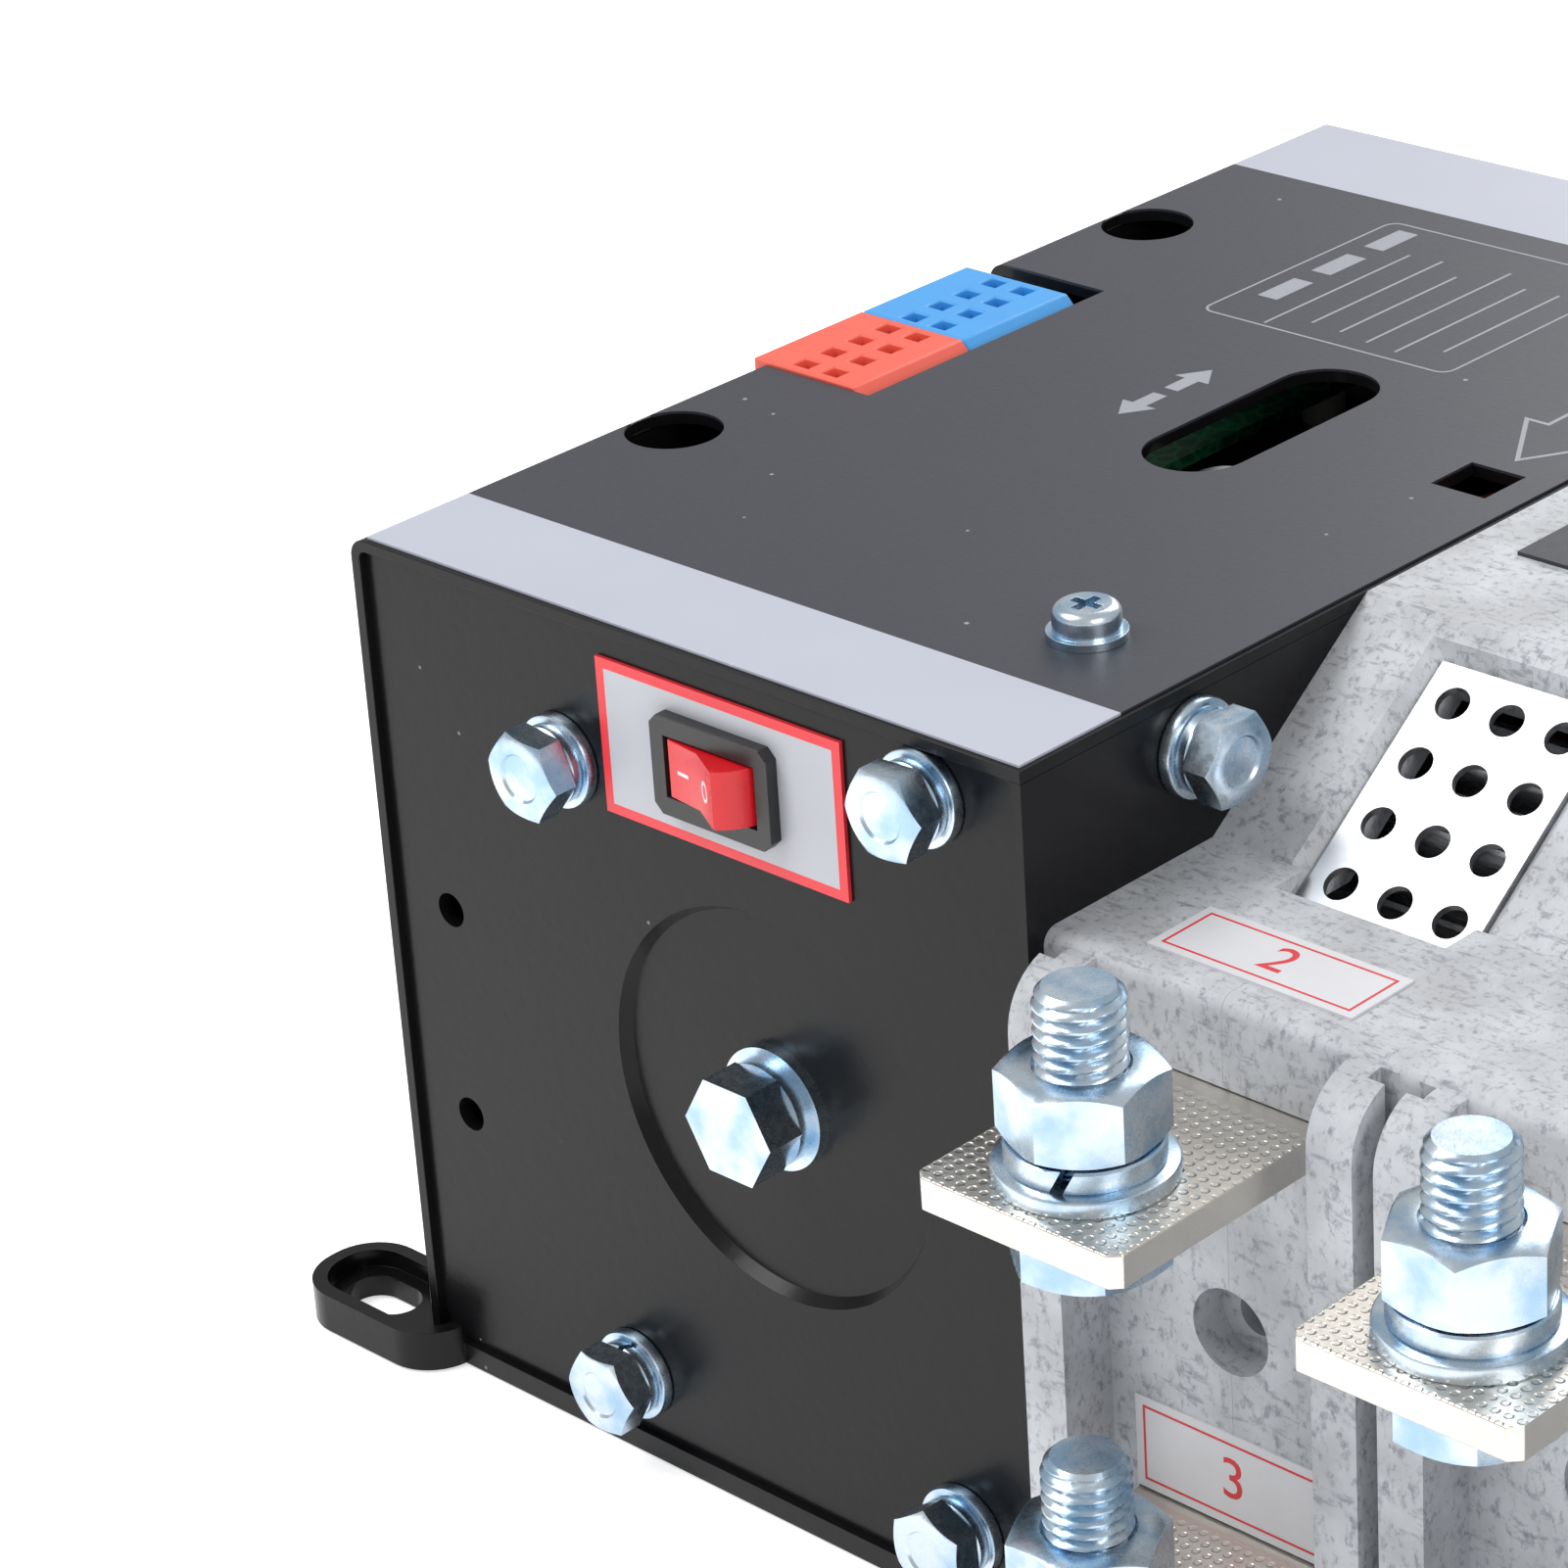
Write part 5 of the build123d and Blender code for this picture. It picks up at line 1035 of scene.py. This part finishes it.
def printed(name, outlines, origin, across, up):
    """A piece of thin flat prints, each outline standing just proud of a surface."""
    origin, across, up = Vector(origin), Vector(across).normalized(), Vector(up).normalized()
    out = across.cross(up)
    points = []
    faces = []
    for outline in outlines:
        first = len(points)
        count = len(outline)
        for level in (0.0, PRINT_THICKNESS):
            for u, v in outline:
                points.append(origin + across * u + up * v + out * level)
        faces.append(tuple(range(first + count - 1, first - 1, -1)))
        faces.append(tuple(range(first + count, first + 2 * count)))
        for place in range(count):
            after = (place + 1) % count
            faces.append((first + place, first + after, first + count + after, first + count + place))
    return linked(name, mesh_of(name, points, faces))


def numeral(name, text, height, origin, across, up):
    """A printed number, made a mesh before it is put in its place."""
    curve = bpy.data.curves.new(name + "_text", "FONT")
    curve.body = text
    curve.size = height
    curve.align_x = "CENTER"
    curve.align_y = "CENTER"
    curve.extrude = PRINT_THICKNESS / 2
    curve.resolution_u = 4
    piece = applied(linked(name, curve))
    origin, across, up = Vector(origin), Vector(across).normalized(), Vector(up).normalized()
    turn = Matrix((across, up, across.cross(up))).transposed().to_4x4()
    piece.data.transform(Matrix.Translation(origin) @ turn)
    return piece


class SWITCH_OT_cover_print(SwitchOperator, bpy.types.Operator):
    """Prints arrows and an empty data box on the cover's film"""

    bl_idname = "switch.cover_print"
    bl_label = "Cover printing"

    def execute(self, context):
        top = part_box("top_label")[1].z
        slot, window = (opening["box_m"] for opening in frame["record"]["physics"]["openings"][:2])
        slot_x = (slot[0][0] + slot[1][0]) / 2
        window_x = (window[0][0] + window[1][0]) / 2

        arrows_x = slot_x - 15.5 * MM
        near, far = 1.0 * MM, 9.0 * MM
        outlines = []
        for side in (1, -1):
            tail, tip = (arrows_x, side * near), (arrows_x, side * far)
            outlines.append(arrow(tail, tip, width=2.2 * MM, head_width=5.4 * MM, head_length=4.0 * MM))
        tail, tip = (window_x, 36 * MM), (window_x, 7 * MM)
        pointer = arrow(tail, tip, width=8 * MM, head_width=15 * MM, head_length=12 * MM)
        outlines += stroke(pointer, 0.6 * MM)

        box_x, box_y = -75.0 * MM, 44.5 * MM
        box_side, box_corner, box_line = 40 * MM, 2 * MM, 0.35 * MM
        frame_line = rounded_oblong((box_x, box_y), (box_side, box_side), box_corner)
        outlines += stroke(frame_line, box_line)
        rules, rule_pitch, rule_width = 6, 5.0 * MM, 0.4 * MM
        for row in range(rules):
            length = (30 - 3 * (row % 3)) * MM
            middle_x = box_x + (row - 2) * rule_pitch
            middle_y = box_y - 4 * MM + (row % 2) * 2 * MM
            outlines.append(oblong((middle_x, middle_y), (rule_width, length)))
        chips, chip_pitch, chip_size = 3, 11 * MM, (3.2 * MM, 7.5 * MM)
        for place in range(chips):
            middle = (box_x - 15.5 * MM, box_y - 8 * MM + place * chip_pitch)
            outlines.append(oblong(middle, chip_size))
        piece = printed("cover_print", outlines, (0, 0, top), (1, 0, 0), (0, 1, 0))
        settle(piece, "housing", finish=FINISHES["print_grey"])
        return {"FINISHED"}


class SWITCH_OT_stickers(SwitchOperator, bpy.types.Operator):
    """Prints the red borders and numbers of the pole stickers"""

    bl_idname = "switch.stickers"
    bl_label = "Pole stickers"

    def execute(self, context):
        red = FINISHES["print_red"]
        margin, line, figure = 2.2 * MM, 0.3 * MM, 7.5 * MM
        for low, high in islands("number_stickers"):
            middle = (low + high) / 2
            lies_flat = high.z - low.z < 1.0 * MM
            if not lies_flat:
                name, text, across, up = "load", "3", (1, 0, 0), (0, 0, 1)
            elif middle.y > 0:
                name, text, across, up = "normal", "1", (-1, 0, 0), (0, -1, 0)
            else:
                name, text, across, up = "reserve", "2", (1, 0, 0), (0, 1, 0)
            if lies_flat:
                origin = Vector((middle.x, middle.y, high.z))
                height = high.y - low.y
            else:
                origin = Vector((middle.x, low.y, middle.z))
                height = high.z - low.z
            outline = oblong((0, 0), (high.x - low.x - margin, height - margin))
            border = printed(name + "_border", stroke(outline, line), origin, across, up)
            settle(border, "housing", finish=red)
            number = numeral(name + "_number", text, figure, origin, across, up)
            settle(number, "housing", finish=red)
        return {"FINISHED"}


class SWITCH_OT_rocker_marks(SwitchOperator, bpy.types.Operator):
    """Prints the on and off marks on the rocker's two faces"""

    bl_idname = "switch.rocker_marks"
    bl_label = "Rocker marks"

    def execute(self, context):
        pivot = Vector(JOINTS["rocker_tilt"]["pos_m"])
        tilt = Matrix.Rotation(math.radians(-18.0), 3, "Z")  # how the rocker leans at rest
        rim_x, rim_y = 5.36 * MM, -4.6 * MM
        valley = Vector((0, -3.6 * MM, 0))
        proud = 0.01 * MM
        for side in (-1, 1):
            rim = Vector((side * rim_x, rim_y, 0))
            first, second = (rim, valley) if side < 0 else (valley, rim)
            across = tilt @ (second - first).normalized()
            origin = pivot + tilt @ ((rim + valley) / 2) + across.cross(UP) * proud
            if side < 0:
                name = "rocker_mark_on"
                outlines = [oblong((0, 0), (2.0 * MM, 0.45 * MM))]
            else:
                name = "rocker_mark_off"
                wide, high, line = 1.05 * MM, 1.35 * MM, 0.38 * MM
                circle = [(wide * math.cos(angle), high * math.sin(angle)) for angle in angles(24)]
                outlines = stroke(circle, line)
            piece = printed(name, outlines, origin, across, UP)
            settle(piece, "rocker", finish=FINISHES["print_white"])
        return {"FINISHED"}


def angles(count):
    """Angles spread evenly round a circle."""
    return [2 * math.pi * place / count for place in range(count)]


class SWITCH_OT_stage(SwitchOperator, bpy.types.Operator):
    """Sets the pale floor, the soft studio light and the camera"""

    bl_idname = "switch.stage"
    bl_label = "Stage"

    def execute(self, context):
        floor = stage_floor()
        studio_light()
        studio_camera()
        return {"FINISHED"}


def stage_floor():
    """A wide pale floor just under the switch, glowing a little so that it comes out white."""
    half, gap = 3.0, 0.4 * MM
    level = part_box("base_plate")[0].z - gap
    points = [(x, y, level) for x, y in oblong((0, 0), (2 * half, 2 * half))]
    floor = linked("floor", mesh_of("floor", points, [(0, 1, 2, 3)]))
    f = Finish("pale_floor")
    tone = f.noise(0.4, 2.0)
    floor.data.materials.append(
        f.surface(
            Base_Color=f.blend(tone, (0.92, 0.92, 0.92), (0.89, 0.89, 0.90)),
            Roughness=0.7 + tone * 0.1,
            Emission_Color=(1.0, 1.0, 1.0, 1.0),
            Emission_Strength=0.6,
        )
    )
    return floor


# Name, place, side in metres and power in watts of each softbox.
SOFTBOXES = (
    ("key", (-0.55, -0.55, 1.0), 0.6, 7.5),
    ("side", (0.95, -0.25, 0.60), 0.5, 3.8),
    ("back", (-0.3, 0.95, 0.7), 0.7, 4.5),
)


def studio_light():
    """Softboxes round the switch, in a surround that looks white but lights it gently."""
    middle = Vector((0.0, 0.0, 0.05))
    for name, place, side, power in SOFTBOXES:
        lamp = bpy.data.lights.new(name, "AREA")
        lamp.shape = "SQUARE"
        lamp.size = side
        lamp.energy = power
        light = linked(name, lamp)
        light.location = place
        light.rotation_euler = (middle - Vector(place)).to_track_quat("-Z", "Y").to_euler()

    seen_strength, light_strength = 1.0, 0.60
    world = bpy.data.worlds.new("surround")
    world.use_nodes = True
    tree = world.node_tree
    background = tree.nodes["Background"]
    background.inputs["Color"].default_value = (1.0, 1.0, 1.0, 1.0)
    path = tree.nodes.new("ShaderNodeLightPath")
    strength = tree.nodes.new("ShaderNodeMapRange")
    strength.inputs["To Min"].default_value = light_strength
    strength.inputs["To Max"].default_value = seen_strength
    tree.links.new(path.outputs["Is Camera Ray"], strength.inputs["Value"])
    tree.links.new(strength.outputs["Result"], background.inputs["Strength"])
    bpy.context.scene.world = world
    bpy.context.scene.view_settings.view_transform = "Standard"


def studio_camera():
    """A long lens above the front right corner, looking at the operator box."""
    place = Vector((0.32025, -0.45682, 0.35561))
    azimuth, elevation, roll = math.radians(46.004), math.radians(25.736), math.radians(-3.973)
    flat = math.cos(elevation)
    ahead = Vector((-math.sin(azimuth) * flat, math.cos(azimuth) * flat, -math.sin(elevation)))
    right = ahead.cross(UP).normalized()
    over = right.cross(ahead)
    level = math.cos(roll) * right + math.sin(roll) * over
    upright = math.cos(roll) * over - math.sin(roll) * right
    data = bpy.data.cameras.new("camera")
    data.sensor_width = 36.0
    data.lens = 119.91
    data.clip_start = 0.01
    camera = linked("camera", data)
    turn = Matrix((level, upright, -ahead)).transposed().to_4x4()
    camera.matrix_world = Matrix.Translation(place) @ turn
    bpy.context.scene.camera = camera


# ---------------------------------------------------------------- panel and run
class SWITCH_PT_looks(bpy.types.Panel):
    """Lists the switch's settings and steps."""

    bl_label = "Transfer Switch"
    bl_space_type = "VIEW_3D"
    bl_region_type = "UI"
    bl_category = "Transfer Switch"

    def draw(self, context):
        looks = context.scene.switch_looks
        for name in looks.bl_rna.properties.keys():
            if name not in ("rna_type", "name"):
                self.layout.prop(looks, name)
        for operator in OPERATORS:
            self.layout.operator(operator.bl_idname)


OPERATORS = (
    SWITCH_OT_finish_nodes,
    SWITCH_OT_ease_edges,
    SWITCH_OT_spring,
    SWITCH_OT_terminal_hardware,
    SWITCH_OT_box_bolts,
    SWITCH_OT_cover_print,
    SWITCH_OT_stickers,
    SWITCH_OT_rocker_marks,
    SWITCH_OT_stage,
)


def register():
    for cls in (SwitchLooks, *OPERATORS, SWITCH_PT_looks):
        bpy.utils.register_class(cls)
    bpy.types.Scene.switch_looks = bpy.props.PointerProperty(type=SwitchLooks)


def unregister():
    del bpy.types.Scene.switch_looks
    for cls in (SWITCH_PT_looks, *reversed(OPERATORS), SwitchLooks):
        bpy.utils.unregister_class(cls)


def main():
    register()
    for operator in OPERATORS:
        group, name = operator.bl_idname.split(".")
        getattr(getattr(bpy.ops, group), name)()


if __name__ == "__main__":
    main()
